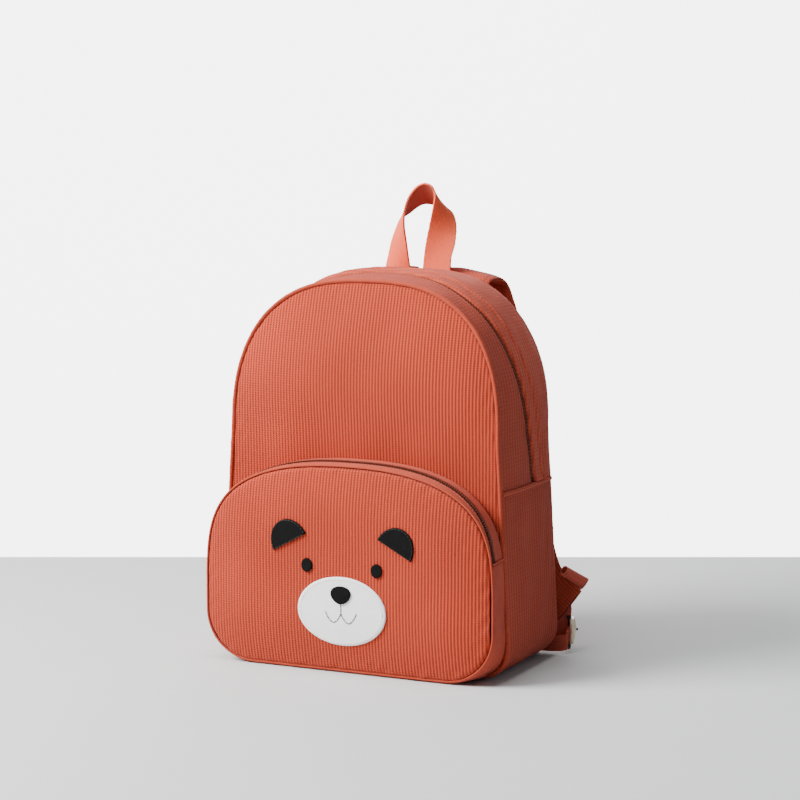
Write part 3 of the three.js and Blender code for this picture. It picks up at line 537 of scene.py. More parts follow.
upper = np.linspace(SEAM_SHARE, 1 - SEAM_SHARE, 190)
slit_front, slit_back = zip_depth(upper) - zip_half(upper), zip_depth(upper) + zip_half(upper)
# The front and base bands take the cloth in painted shade.
front_band = wall_band("zip_band_front_cloth", upper, strip(FRONT_EDGE, upper), slit_front, SIDE_RIB, seed=1,
                       turned=(0.6, 1.5), rib_high=0.1, finish=TERRACOTTA_PAINTED_SHADE)
ride(front_band, "rib_cloth", "zip_band_front")
# The back band takes the cloth in paler painted shade.
back_band = wall_band("zip_band_back_cloth", upper, slit_back, strip(BACK_EDGE, upper), SIDE_RIB, seed=2,
                      turned=(1.5, 0.6), rib_high=0.07, finish=TERRACOTTA_PAINTED_HALF_SHADE)
ride(back_band, "rib_cloth", "zip_band_back")
lower = np.linspace(-SEAM_SHARE, SEAM_SHARE, 150)
base_band = wall_band("base_band_cloth", lower, strip(FRONT_EDGE, lower), strip(BACK_EDGE, lower), SIDE_RIB,
                      seed=3, turned=(0.6, 0.6), rib_high=0.2, finish=TERRACOTTA_PAINTED_SHADE)
ride(base_band, "rib_cloth", "base_band")

# Seam cords: a narrow bias strip of plain cloth folded over a cord and caught in the front and
# back seams all the way round.


def plain_cloth(name, light, dark):
    material, tree, shader = new_material(name, **COTTON)
    across, along = weave_counts(tree)
    lines = waves(tree, sums(tree, "ADD", across, along))
    picks = waves(tree, sums(tree, "SUBTRACT", across, along))
    fibres = grain(tree, 800.0, 3.0)
    woven = sums(tree, "MULTIPLY_ADD", lines, 0.12, sums(tree, "MULTIPLY_ADD", picks, 0.12, fibres))
    amount = clamped(tree, sums(tree, "ADD", woven, clouds(tree, 25.0, -0.1, 0.1)))
    dress(tree, shader, blended(tree, amount, dark, light), woven, 0.0003, 0.5)
    return material


PLAIN = plain_cloth("plain terracotta", (0.47, 0.062, 0.027), (0.27, 0.031, 0.014))
PLAIN_WEAVE = 1.1


def unit(directions):
    """The same directions, all of length 1."""
    return directions / np.linalg.norm(directions, axis=-1, keepdims=True)


def tube(middle, first, second, turns, radius):
    """Rows of places round a line, in two directions square to it."""
    ring = np.cos(turns)[None, :, None] * first + np.sin(turns)[None, :, None] * second
    places = middle + ring * radius
    places[:, -1] = places[:, 0]
    return places


def seam_cord(name, depth, centre, radius, *nodes, wall=body_wall, outline=BODY):
    """A covered cord all round a wall at a share of the depth, its centre at a height off the wall."""
    shares = np.linspace(0, 1, 321)[:, None]
    turns = np.linspace(0, 2 * math.pi, 15)
    lifted = np.clip(1 - outline.spot(shares)[1] / 20, 0, 1) * 0.8 * (0.1 + radius)
    middle = wall(shares, depth, centre) + np.stack([0 * lifted, 0 * lifted, lifted], -1)
    out = unit(wall(shares, depth, centre + 1) - wall(shares, depth, centre))
    way = shares * outline.total
    swell = radius * (1 + 0.05 * uneven(way, 0 * way, 9, 5))
    places = tube(middle, out, np.array([0, 1.0, 0]), turns, swell[..., None])
    places[-1] = places[0]
    weave = np.stack(np.broadcast_arrays(turns * radius / PLAIN_WEAVE, way / PLAIN_WEAVE), -1)
    ride(lay_cloth(name, places, weave, 0, PLAIN), "rib_cloth", *nodes)


seam_cord("front_seam_cord", 0.0, -0.4, 1.6, "front_piping")
seam_cord("back_seam_cord", 1.0, -2.2, 1.5, "back_piping")

# Main zip: a woven tape with coil teeth sunk between the two bands, and over its back half a
# folded flap of the same cloth that keeps rain out.


def zip_tape(name):
    material, tree, shader = new_material(name, Roughness=0.85, Specular_IOR_Level=0.1)
    lines = waves(tree, weave_counts(tree)[1], 2)
    amount = sums(tree, "MULTIPLY_ADD", lines, 0.3, grain(tree, 1200.0))
    colour = blended(tree, amount, (0.05, 0.0095, 0.0065), (0.1, 0.022, 0.013))
    dress(tree, shader, colour, amount, 0.0002, 0.5)
    return material


TAPE = zip_tape("zip tape")


def zip_run(name, node_name, shares, depths, half, lift, **walls):
    """A strip of zip tape along a line of depths, half as wide on each side."""
    tape = wall_band(name, shares, depths - half, depths + half, 2.0, turned=(0, 0), thick=0.8, lift=lift,
                     rib_high=0, finish=TAPE, count=8, **walls)
    ride(tape, "zip_tape", node_name)


zip_run("main_zip_tape", "main_zip", upper, zip_depth(upper), zip_half(upper) + 0.012, -1.1)


def bare_mesh(name, vertices, faces, finish):
    """A mesh of given corners and faces, in metres."""
    mesh = bpy.data.meshes.new(name)
    mesh.from_pydata(vertices.tolist(), [], faces.tolist())
    mesh.materials.append(finish)
    piece = bpy.data.objects.new(name, mesh)
    bpy.context.collection.objects.link(piece)
    bpy.ops.object.select_all(action="DESELECT")
    bpy.context.view_layer.objects.active = piece
    piece.select_set(True)
    bpy.ops.object.shade_smooth_by_angle(angle=math.radians(40))
    return piece


def repeated(name, pattern, places, along, out, finish, size=1.0):
    """Copies of one small shape in one mesh: its X goes along, its Z out, at places in millimetres."""
    corners = np.array([v.co for v in pattern.data.vertices]) * size
    faces = np.array([list(p.vertices) for p in pattern.data.polygons])
    along = unit(along)
    across = unit(np.cross(out, along))
    axes = np.stack([along, across, np.cross(along, across)], 1)
    placed = np.einsum("vk,nkc->nvc", corners, axes) + places[:, None, :]
    vertices = (placed.reshape(-1, 3) - (0, DEPTH / 2, 0)) / 1000
    shifts = np.arange(len(places))[:, None, None] * len(corners)
    return bare_mesh(name, vertices, (faces[None] + shifts).reshape(-1, faces.shape[1]), finish)


def small_pattern(chamfer):
    """The solid that was added last, its edges cut off, as a shape to be repeated."""
    shape = bpy.context.object
    bpy.ops.object.transform_apply(location=False, rotation=True, scale=True)
    bpy.ops.object.mode_set(mode="EDIT")
    bpy.ops.mesh.select_all(action="SELECT")
    bpy.ops.mesh.bevel(offset=chamfer, segments=1)
    bpy.ops.mesh.quads_convert_to_tris()
    bpy.ops.object.mode_set(mode="OBJECT")
    return shape


NYLON = {
    "size": 700.0, "relief": 700.0, "depth": 0.0001, "strength": 0.3,
    "Roughness": 0.6, "Specular_IOR_Level": 0.2,
}
TEETH = speckled("zip teeth", (0.15, 0.035, 0.022), (0.26, 0.07, 0.045), **NYLON)
HALF_GAP = 0.55
bpy.ops.object.select_all(action="DESELECT")
bpy.ops.mesh.primitive_cube_add(size=1, scale=(0.85, 2.2, 0.9))
tooth = small_pattern(0.22)


def row_of_teeth(name, shares, depth_at, lift, wall, spacing, total, apart=1.0):
    """Two rows of teeth that mesh, on a line over a wall."""
    count = int((shares[-1] - shares[0]) * total / spacing)
    share = np.linspace(shares[0], shares[-1], count)
    sides = np.where(np.arange(count) % 2, 1.0, -1.0)
    middle = wall(share, depth_at(share), lift)
    along = wall(share + 0.001, depth_at(share + 0.001), lift) - middle
    out = wall(share, depth_at(share), lift + 1) - middle
    places = middle + unit(np.cross(out, along)) * sides[:, None] * HALF_GAP * apart
    ride(repeated(name, tooth, places, along, out, TEETH), "zip_tape")


row_of_teeth("main_zip_teeth", upper[[2, -3]], zip_depth, -0.9, body_wall, 1.35, BODY.total)

# The flap's height off the wall, from its edge in the slit (0) to its folded back edge (1).
FLAP = (
    (0, -1.6), (0.02, -0.3), (0.08, 0.7), (0.25, 1.3), (0.55, 1.3),
    (0.8, 1.7), (0.88, 2.5), (0.93, 2.7), (0.97, 2), (1, -0.3),
)
FLAP_WIDTH = 0.165
columns = np.concatenate([
    np.linspace(0, 0.1, 7)[:-1], np.linspace(0.1, 0.88, 14)[:-1], np.linspace(0.88, 1, 6)])
share = np.broadcast_to(upper[:, None], (len(upper), len(columns)))
depth = slit_back[:, None] - 0.004 + FLAP_WIDTH * columns
lift = smooth_table(*zip(*FLAP), np.broadcast_to(columns, share.shape))
lift = lift + 0.2 * uneven(share * BODY.total, depth * DEPTH, 16, 61)
faded = np.clip(np.minimum(columns, 1 - columns) / 0.12, 0, 1)
lift = lift + 0.07 * np.cos(2 * math.pi * depth * DEPTH / SIDE_RIB) * faded
weave = np.stack([depth * DEPTH / SIDE_RIB, share * BODY.total / SIDE_RIB], -1)
# The flap, too, takes the cloth in paler painted shade.
flap = lay_cloth("zip_flap_cloth", body_wall(share, depth, lift), weave, 1.1, TERRACOTTA_PAINTED_HALF_SHADE)
ride(flap, "rib_cloth", "zip_flap")

# Side hems: on each side the zip bands end at a seam across the wall. A turned edge of plain
# cloth covers it, sewn down along its lower side.
HEM_TALL = 3.4
HEMS = (("right", SEAM_SHARE, -1), ("left", 1 - SEAM_SHARE, 1))
for side, share_at, down in HEMS:
    down_by = np.linspace(0, HEM_TALL, 14) * down / BODY.total
    depth = np.linspace(0.01, 0.97, 40)
    share, depth = np.meshgrid(share_at + down_by, depth, indexing="ij")
    across = np.linspace(0, 1, 14)[:, None]
    lift = 0.1 + 1.3 * (1 - np.abs(2 * across - 1) ** 4)
    lift = lift + 0.12 * uneven(depth * DEPTH, share * BODY.total, 7, 71)
    if down < 0:
        share, depth, lift = share[::-1], depth[::-1], lift[::-1]
    weave = np.stack([share * BODY.total, depth * DEPTH], -1) / PLAIN_WEAVE
    hem = lay_cloth(f"side_hem_{side}_cloth", body_wall(share, depth, lift), weave, 1.0, PLAIN)
    ride(hem, "rib_cloth", f"side_hem_{side}")

# Front pocket: a low rounded box of the same cloth sewn on the front, its panel edged by a narrow
# plain strip, a zip over the top from side to side and a plain gusset behind it.
POCKET_HALF = 121
POCKET = Outline(half_width=POCKET_HALF, top=163.5, base=0.8, shoulder=48, taper=0, corner=40, flat=2.4,
                 rounded=3.9)
POCKET_DEPTH = 28
POCKET_FLARE = 3
POCKET_DROP = 1.5
POCKET_INSET = 1.8


def pocket_wall(share, depth, out):
    """The pocket's walls, from its front edge (depth 0) back to the bag (depth 1)."""
    flat_x, flat_z = POCKET.spot(share)
    fuller = 5.2 * np.exp(-((flat_z - 14) / 19) ** 2) * np.clip((np.abs(flat_x) - 80) / 22, 0, 1)
    x, z = POCKET.at(share, out + (fuller + 1) * np.clip(depth, 0, 1))
    rear = np.minimum(front_y(flat_x, flat_z), -1.8) - 0.5
    x = x * (1 + POCKET_FLARE / POCKET_HALF * (1 - depth))
    y = -POCKET_DEPTH * (1 - depth) + rear * depth
    z = z - POCKET_DROP * (1 - depth) * np.clip((z - 60) / 100, 0, 1)
    return np.stack(np.broadcast_arrays(x, y, z), -1)


def pocket_y(x, z):
    """The pocket's front, which its filling pushes out towards the middle."""
    return -POCKET_DEPTH - 7 * domed(POCKET.inside(x / 1.03, z), 48)


x = ribs_over(FRONT_HALF_WIDTH)
low, high = POCKET.heights(x / (1 + POCKET_FLARE / POCKET_HALF), POCKET_INSET)
high = high - POCKET_DROP * np.clip((high - 60) / 100, 0, 1)
z = rows_between(low, high, 44)
x = np.broadcast_to(x, z.shape)
edge = POCKET.inside(x / 1.0248, z + POCKET_DROP * np.clip((z - 60) / 100, 0, 1)) - POCKET_INSET
y = pocket_y(x, z) + face_relief(
    x, z, edge, 1, roll=2.3, wave_size=60, wave_high=0.4, wave_fade=25, pucker_size=12, seed=23,
    ribs_from=0.5)
lay_panel("pocket_panel_cloth", "pocket_panel", x, y, z, CLOTH_THICK)

POCKET_END = POCKET.share_at(95)
arch = np.linspace(POCKET_END, 1 - POCKET_END, 130)
pocket = {"wall": pocket_wall, "deep": POCKET_DEPTH, "total": POCKET.total}
POCKET_ZIP_LINE = (
    (-0.4, 0.56), (0, 0.54), (0.4, 0.56), (0.55, 0.52), (0.66, 0.46), (0.77, 0.38), (0.9, 0.28), (1, 0.22),
)
POCKET_ZIP_HALF = 0.12
POCKET_EDGE = 0.03


def pocket_zip_depth(share):
    """The share of the pocket's depth where its zip runs."""
    return smooth_table(*zip(*POCKET_ZIP_LINE), down_from_top(share, POCKET_END))


plain = {"rib": PLAIN_WEAVE, "rib_high": 0, "finish": PLAIN, **pocket}
zip_middle = pocket_zip_depth(arch)
slit_front, slit_back = zip_middle - POCKET_ZIP_HALF, zip_middle + POCKET_ZIP_HALF
strip_front = wall_band("pocket_band_front_cloth", arch, strip(POCKET_EDGE, arch), slit_front,
                        turned=(0.6, 0.8), count=10, seed=5, **plain)
ride(strip_front, "rib_cloth", "pocket_band_front")
strip_back = wall_band("pocket_band_back_cloth", arch, slit_back, strip(1.0, arch), turned=(0.8, 0.9),
                       count=10, seed=6, **plain)
ride(strip_back, "rib_cloth", "pocket_band_back")
under = np.linspace(-POCKET_END, POCKET_END, 150)
gusset = wall_band("pocket_gusset_cloth", under, strip(POCKET_EDGE, under), strip(1.0, under), lift=0.3,
                   turned=(0.9, 1.2), count=14, seed=7, **plain)
ride(gusset, "rib_cloth", "pocket_gusset")
zip_run("pocket_zip_tape", "pocket_zip", arch, zip_middle, POCKET_ZIP_HALF + 0.005, -0.1, **pocket)
row_of_teeth("pocket_zip_teeth", arch[[2, -3]], pocket_zip_depth, 0.6, pocket_wall, 0.97, POCKET.total,
             apart=1.7)
seam_cord("pocket_edge_cord", 0.02, -0.5, 0.9, wall=pocket_wall, outline=POCKET)
END_SEAM = {"lift": 0.35, "radius": 0.75}
for side, share_at in (("right", POCKET_END), ("left", 1 - POCKET_END)):
    depth = np.linspace(0.05, 0.99, 20)
    middle = pocket_wall(share_at + 0 * depth, depth, END_SEAM["lift"])
    out = pocket_wall(share_at + 0 * depth, depth, END_SEAM["lift"] + 1) - middle
    along = unit(pocket_wall(share_at + 0.001 + 0 * depth, depth, END_SEAM["lift"]) - middle)
    turns = np.linspace(0, 2 * math.pi, 11)
    places = tube(middle[:, None], out[:, None], along[:, None], turns, END_SEAM["radius"])
    weave = np.stack(np.broadcast_arrays(turns, depth[:, None] * POCKET_DEPTH / PLAIN_WEAVE), -1)
    ride(lay_cloth(f"pocket_zip_end_{side}", places, weave, 0, PLAIN), "rib_cloth")

# Sewing thread: runs of short stitches of a thick thread, a little duller than the cloth. Each
# stitch is a small capsule lying in it.
THREAD = speckled("terracotta thread", (0.36, 0.08, 0.045), (0.5, 0.13, 0.075), **NYLON)
STITCH_STEP = 3.0
bpy.ops.object.select_all(action="DESELECT")
bpy.ops.mesh.primitive_cylinder_add(vertices=6, radius=0.28, depth=2.2, rotation=(0, math.radians(90), 0))
stitch = small_pattern(0.14)


def way_along(line):
    """How far each place of a line is from its start."""
    return np.concatenate([[0], np.cumsum(np.linalg.norm(np.diff(line, axis=0), axis=1))])


def sewn(name, line, out, spacing=STITCH_STEP, finish=THREAD, slot="rib_cloth", size=1.0):
    """Stitches along a line of many close places, with one outward direction or one at each."""
    way = way_along(line)
    at = np.arange(spacing / 2, way[-1], spacing)
    out = np.broadcast_to(np.asarray(out, float), line.shape)
    places, further, before, outs = (
        np.stack([np.interp(at + shift, way, values[:, i]) for i in range(3)], 1)
        for shift, values in ((0, line), (0.3, line), (-0.3, line), (0, out)))
    ride(repeated(name, stitch, places, further - before, outs, finish, size), slot)


def wall_line(wall, shares, depth, lift):
    """A line of places over a wall, and the outward direction at each."""
    line = wall(shares, depth, lift)
    return line, wall(shares, depth, lift + 1) - line


fine = np.linspace(SEAM_SHARE + 0.002, 1 - SEAM_SHARE - 0.002, 900)
beside_slit = zip_depth(fine) - zip_half(fine) - 0.03
flap_ridge = zip_depth(fine) + zip_half(fine) + 0.142
sewn("zip_band_front_stitches", *wall_line(body_wall, fine, beside_slit, 0.35))
sewn("zip_flap_stitches", *wall_line(body_wall, fine, flap_ridge, 2.3))
fine = np.linspace(POCKET_END + 0.002, 1 - POCKET_END - 0.002, 700)
sewn("pocket_zip_stitches", *wall_line(pocket_wall, fine, pocket_zip_depth(fine) - 0.19, 0.1))
for side, share_at, down in HEMS:
    depth = np.linspace(0.02, 0.97, 200)
    line, out = wall_line(body_wall, share_at + 2.4 * down / BODY.total + 0 * depth, depth, 1.35)
    sewn(f"side_hem_{side}_stitches", line, out)


# Carrying handle: one length of 25 mm cotton webbing, looped up with a half turn and sewn down on
# the back below the top seam.
def webbing(name, crest, shaded_furrow):
    material, tree, shader = new_material(
        name, Roughness=0.72, Specular_IOR_Level=0.3, Sheen_Weight=0.08, Sheen_Roughness=0.4)
    across, along = weave_counts(tree)
    cords = sums(tree, "ABSOLUTE", waves(tree, across, 0.5))
    shift = sums(tree, "MULTIPLY", sums(tree, "FLOOR", sums(tree, "ADD", across, 0.5)), 0.5)
    picks = sums(tree, "MULTIPLY_ADD", waves(tree, sums(tree, "ADD", along, shift)), 0.5, 0.5)
    fibres = grain(tree, 850.0, 3.0)
    woven = sums(tree, "MULTIPLY_ADD", cords, 0.45, sums(tree, "MULTIPLY", picks, 0.35))
    # Where the weave dips, the colour darkens towards the shaded furrow colour: painted shade between the
    # cords.
    shading = sums(tree, "MULTIPLY_ADD", fibres, 0.9, sums(tree, "SUBTRACT", woven, 0.2))
    dress(tree, shader, blended(tree, clamped(tree, shading), shaded_furrow, crest), woven, 0.0004, 0.6)
    return material


WEBBING = webbing("salmon webbing", (1.0, 0.138, 0.052), (0.36, 0.042, 0.017))
# A darker copy of the webbing: painted shade under the handle's loop.
WEBBING_LOOP_SHADE = webbing("salmon webbing, painted shade under the loop", (0.42, 0.062, 0.034), (0.16, 0.024, 0.013))
# A darker copy of the webbing: painted shade on the lower webs beside the base.
WEBBING_SHADE_LOW = webbing("salmon webbing, painted shade low down", (0.5, 0.085, 0.048), (0.24, 0.032, 0.018))
WEBBING_RIB = 1.3


def through(rows, count):
    """A smooth line through table rows, in equal steps from row to row."""
    rows = np.array(rows, float)
    at = np.linspace(0, len(rows) - 1, count)
    index = np.arange(len(rows))
    return np.stack([smooth_table(index, rows[:, i], at) for i in range(rows.shape[1])], 1)


def ribbon(name, near, far, thick, *nodes, finish=WEBBING):
    """A flat strap between two edge lines, with raised woven edges."""
    columns = np.linspace(0, 1, 15)
    middle = near[:, None] * (1 - columns)[None, :, None] + far[:, None] * columns[None, :, None]
    width = np.linalg.norm(far - near, axis=1)
    way = way_along((near + far) / 2)
    across = (far - near) / width[:, None]
    wave = 0.18 * np.sin(way / 1.7 * 2 * math.pi)[:, None, None] * across[:, None]
    middle[:, -1:] += wave
    middle[:, :1] -= wave
    weave = np.stack(np.broadcast_arrays(columns[None] * width[:, None], way[:, None]), -1) / WEBBING_RIB
    strap = lay_cloth(name, middle, weave, 0, finish)
    shell = strap.modifiers.new("thickness", "SOLIDIFY")
    shell.thickness = thick / 1000
    shell.offset = 0
    bpy.ops.object.modifier_apply(modifier="thickness")
    rounding = strap.modifiers.new("rounding", "BEVEL")
    rounding.width = 0.0004
    rounding.segments = 2
    rounding.limit_method = "ANGLE"
    bpy.ops.object.modifier_apply(modifier="rounding")
    bpy.ops.object.shade_smooth_by_angle(angle=math.radians(50))
    ride(strap, "webbing", *nodes)
    return strap


# Both edges of the webbing, from where the left leg is sewn on, over the loop, to the right leg.
HANDLE = [
    (-7.5, 107.6, 284, -32.5, 107.5, 284), (-9, 107.5, 296, -33, 107.7, 296),
    (-10.6, 107.4, 306, -33.6, 110, 305.6), (-9.8, 101.8, 317, -32, 112.2, 316),
    (-9.5, 97.5, 328.6, -29.4, 112.5, 326.6), (-9.5, 93.8, 340, -25.2, 113.2, 338),
    (-8.6, 92.4, 350, -21.6, 113.2, 345), (-6.4, 92.4, 359, -17.4, 112.6, 347.6),
    (-2.8, 93, 366.4, -12, 111.8, 350.6), (2.2, 94, 372, -5.4, 111, 355),
    (8.4, 94.8, 374.4, 1.2, 111.4, 357.6), (14.4, 95.4, 372, 9.4, 113, 356.6),
    (16.4, 96.4, 365.6, 17.8, 115, 354), (14.6, 98, 357, 24, 115.4, 349),
    (11, 100.4, 346, 27.6, 114, 339.4), (5.6, 104.4, 330, 28.2, 110.6, 326.4),
    (2.4, 107, 317, 25.8, 108.6, 315.6), (1, 107.6, 306, 25.2, 108, 305.4),
    (0.6, 107.4, 296, 25.2, 107.4, 296), (0.6, 107.6, 284, 25.4, 107.5, 284),
]
HANDLE_THICK = 1.7
LOOP_START, LOOP_END = 66, 104
path = through(HANDLE, 220)
handle = ribbon("handle_webbing", path[:, :3], path[:, 3:], HANDLE_THICK, "handle")
# Where the loop turns over, its faces that look down take a darker copy of the webbing: painted shade.
handle.data.materials.append(WEBBING_LOOP_SHADE)
weave = handle.data.uv_layers["weave"].data
for face in handle.data.polygons:
    if LOOP_START < weave[face.loop_start].uv[1] * WEBBING_RIB < LOOP_END and face.normal.z < -0.12:
        face.material_index = 1
for side, middle in (("left", -20.5), ("right", 13)):
    for row, height in enumerate((287, 296)):
        line = np.linspace((middle - 10, 108.75, height), (middle + 10, 108.75, height), 60)
        sewn(f"handle_{side}_stitches_{row}", line, (0, 1, 0), 2.8)

# Shoulder straps: long pads of the ribbed cloth over foam, edged by a line of stitches. They are
# sewn flat on the back near the top, stand up over it and hang down outside to their webbing.
# Each row has the pad's middle, its width, its share of the thickness and how far one edge hangs.
STRAP = [
    (41.5, 110.6, 264, 30, 0.6, 0), (41.5, 109.4, 282, 30, 0.6, 0.1), (41.3, 110.6, 292.5, 31, 0.65, 0.18),
    (36.9, 115, 299.6, 42, 0.72, 0.15), (35.4, 125, 301.1, 46, 0.75, 0.16),
    (37.4, 134.6, 300, 44.4, 0.78, 0.16),
    (41, 140.4, 295.6, 41, 0.8, 0.15), (45, 141.4, 287.6, 39, 0.85, 0.12), (50.4, 141, 270, 37.5, 0.95, 0.05),
    (58, 141.5, 234, 38, 1, 0), (67, 141, 194, 38, 1, 0), (75.5, 138, 156, 38, 1, 0),
    (83, 132.5, 122, 37, 1, 0), (88, 127.5, 98, 36, 1, 0), (94, 123.5, 77, 35, 0.9, 0),
    (102, 120.5, 60, 34, 0.8, 0), (111.6, 119, 48.4, 33, 0.65, 0), (121, 118.2, 41, 33, 0.65, 0),
    (126.4, 117.8, 37, 33, 0.6, 0),
]
STRAP_THICK = 6.4
STITCH_LINE = 0.84
SEWN_COLUMNS = (0, 5, 10, 50, 55, 60, 65, 70, 110, 115)
MOST_FILLED = 1.6
SIDES = (("right", 1), ("left", -1))


def filled(places, every_row, every_column, sewn_columns, most):
    """How far each place of a closed tube of cloth moves when its filling presses it out: a coarse
    copy goes through a cloth simulation, held at its ends and along its sewn columns."""
    rows = np.append(np.arange(0, len(places) - 1, every_row), len(places) - 1)
    columns = np.arange(0, places.shape[1] - 1, every_column)
    coarse = places[rows][:, columns]
    corner = np.arange(coarse[..., 0].size).reshape(coarse.shape[:2])
    after = np.roll(corner, -1, axis=1)
    walls = np.stack([corner[:-1], after[:-1], after[1:], corner[1:]], -1).reshape(-1, 4)
    mesh = bpy.data.meshes.new("filling")
    ends = [corner[0][::-1].tolist(), corner[-1].tolist()]
    mesh.from_pydata((coarse.reshape(-1, 3) / 1000).tolist(), [], walls.tolist() + ends)
    copy = bpy.data.objects.new("filling", mesh)
    bpy.context.collection.objects.link(copy)
    bpy.ops.object.select_all(action="DESELECT")
    bpy.context.view_layer.objects.active = copy
    copy.select_set(True)
    bpy.ops.object.mode_set(mode="EDIT")
    bpy.ops.mesh.select_all(action="SELECT")
    bpy.ops.mesh.normals_make_consistent(inside=False)
    bpy.ops.object.mode_set(mode="OBJECT")
    held = np.tile(np.isin(columns, sewn_columns), (len(rows), 1))
    held[[0, 1, -2, -1]] = True
    copy.vertex_groups.new(name="held").add(corner[held].tolist(), 1.0, "REPLACE")
    cloth = copy.modifiers.new("filling", "CLOTH")
    cloth.settings.vertex_group_mass = "held"
    cloth.settings.use_pressure = True
    cloth.settings.uniform_pressure_force = 120
    cloth.settings.effector_weights.gravity = 0
    cloth.point_cache.frame_end = 20
    for moment in range(1, 21):
        bpy.context.scene.frame_set(moment)
    bpy.ops.object.modifier_apply(modifier="filling")
    settled = np.empty(coarse.size)
    mesh.vertices.foreach_get("co", settled)
    moved = settled.reshape(coarse.shape) * 1000 - coarse
    bpy.data.objects.remove(copy)
    bpy.context.scene.frame_set(1)
    length = np.linalg.norm(moved, axis=-1, keepdims=True)
    moved = moved * np.minimum(1, most / np.maximum(length, 1e-6))
    moved = np.concatenate([moved, moved[:, :1]], 1)
    columns = np.append(columns, places.shape[1] - 1)
    for axis, known in ((0, rows), (1, columns)):
        every = np.arange(places.shape[axis])
        moved = np.apply_along_axis(lambda line: np.interp(every, known, line), axis, moved)
    return moved


def close_ends():
    """Closes the open ends of the active piece and turns its faces outwards."""
    bpy.ops.object.mode_set(mode="EDIT")
    bpy.ops.mesh.select_all(action="DESELECT")
    bpy.ops.mesh.select_mode(type="EDGE")
    bpy.ops.mesh.select_non_manifold()
    bpy.ops.mesh.fill_holes(sides=0)
    bpy.ops.mesh.select_all(action="SELECT")
    bpy.ops.mesh.normals_make_consistent(inside=False)
    bpy.ops.object.mode_set(mode="OBJECT")


path = through(STRAP, 150)
middle, wide, thick, droop = path[:, :3], path[:, 3], path[:, 4], path[:, 5]
along = unit(np.gradient(middle, axis=0))
across = np.stack([np.ones(len(path)), np.zeros(len(path)), -droop], 1)
# Where it bends over the seam one edge of the pad hangs, so there it isn't kept square to its run.
square = np.clip(1 - 12 * droop, 0, 1)[:, None]
across = unit(across - along * np.sum(across * along, axis=1, keepdims=True) * square)
outside = unit(np.cross(along, across))
face = np.sin(np.linspace(-math.pi / 2, math.pi / 2, 61))
spread = np.concatenate([face, face[-2::-1]])
half = wide[:, None] / 2 * spread
puff = (1 - np.abs(spread) ** 3) ** 0.55 * 0.82 + 0.18
puff = puff - 0.13 * np.exp(-((np.abs(spread) - STITCH_LINE) / 0.04) ** 2)
high = thick[:, None] * STRAP_THICK / 2 * puff
high[:2] *= 0.75
high[-2:] *= 0.75
upside = np.concatenate([np.ones(61), -np.ones(60)])
way = way_along(middle)
high = high * upside + 0.35 * uneven(half, way[:, None] + 0 * half, 26, 81)
ribs = 0.07 * np.cos(2 * math.pi * half / RIB) * np.clip((1 - np.abs(spread)) / 0.1, 0, 1) * upside
places = middle[:, None] + across[:, None] * half[..., None] - outside[:, None] * high[..., None]
places = places + filled(places, 3, 5, SEWN_COLUMNS, MOST_FILLED) - outside[:, None] * ribs[..., None]
weave = np.stack(np.broadcast_arrays(half / RIB, way[:, None] / RIB), -1)
for side, mirror in SIDES:
    shown = places * (mirror, 1, 1)
    # The pads take the cloth in painted shade.
    strap = lay_cloth(f"strap_{side}_pad", shown[:, ::mirror], weave[:, ::mirror], 0, TERRACOTTA_PAINTED_SHADE)
    close_ends()
    ride(strap, "rib_cloth", f"strap_{side}")
    for which, edge_side in (("inner", -1), ("outer", 1)):
        line = middle + across * (wide / 2 * STITCH_LINE * edge_side)[:, None]
        line = line - outside * (thick * STRAP_THICK / 2 * 0.62)[:, None]
        sewn(f"strap_{side}_stitches_{which}", line * (mirror, 1, 1), -outside * (mirror, 1, 1), 3.2)

# Lower webbing: from the back's lower corner a web runs through the buckle and round its bar;
# another hangs from the pad's end; the loose end is rolled up behind it.
BUCKLE = {"x": 127, "y": 122, "z": 17, "turn": math.radians(20)}
WEB_THICK = 1.5
ADJUSTER_HALF = 6.2
RETURN_HALF = 9.3


def buckle_spot(along, out, up):
    """A place measured from the middle of the right buckle."""
    turn = BUCKLE["turn"]
    return (BUCKLE["x"] - math.sin(turn) * along + math.cos(turn) * out,
            BUCKLE["y"] + math.cos(turn) * along + math.sin(turn) * out, BUCKLE["z"] + up)


ADJUSTER = [
    (88, 106.9, 7.6), (104, 107, 7.6), (116, 107.8, 7.8), buckle_spot(-12.2, -4.2, -7.4),
    buckle_spot(-8.4, -3.8, -5), buckle_spot(-5.8, -2.2, -2.6),
    buckle_spot(-4.6, -0.8, -0.5), buckle_spot(-3, 0.4, -0.5), buckle_spot(0, 1, -0.5),
    buckle_spot(3, 0.4, -0.5), buckle_spot(4.6, -0.6, -0.5),
]
LOCK = [
    (106, 122.8, 43, 114, 123.4, 54), (113, 122.8, 37.4, 121, 123.4, 46.4),
    (117.3, 122.4, 33, 125, 123.4, 39), (118.8, 121.8, 29.5, 125.9, 123.8, 34.2),
    (119.8, 121.6, 24, 125, 124.6, 29.4), (120.8, 123.4, 14.5, 124, 126, 26),
    (122.8, 127.5, 10.6, 123, 127.6, 24), (124.9, 131, 10.4, 125.1, 131.2, 24),
]
RETURN = [
    (125.4, 125, 18.6), (121.6, 121, 19.6), (115.4, 117.4, 21.4), (109, 115.4, 22.6), (100, 114.6, 22.6),
]
TAIL = [
    (98.4, 128.6, 42.8, 115.6, 128.6, 29.2), (105.4, 128, 49.8, 122.6, 128, 36.2),
    (114, 127, 57, 129, 127, 45),
]
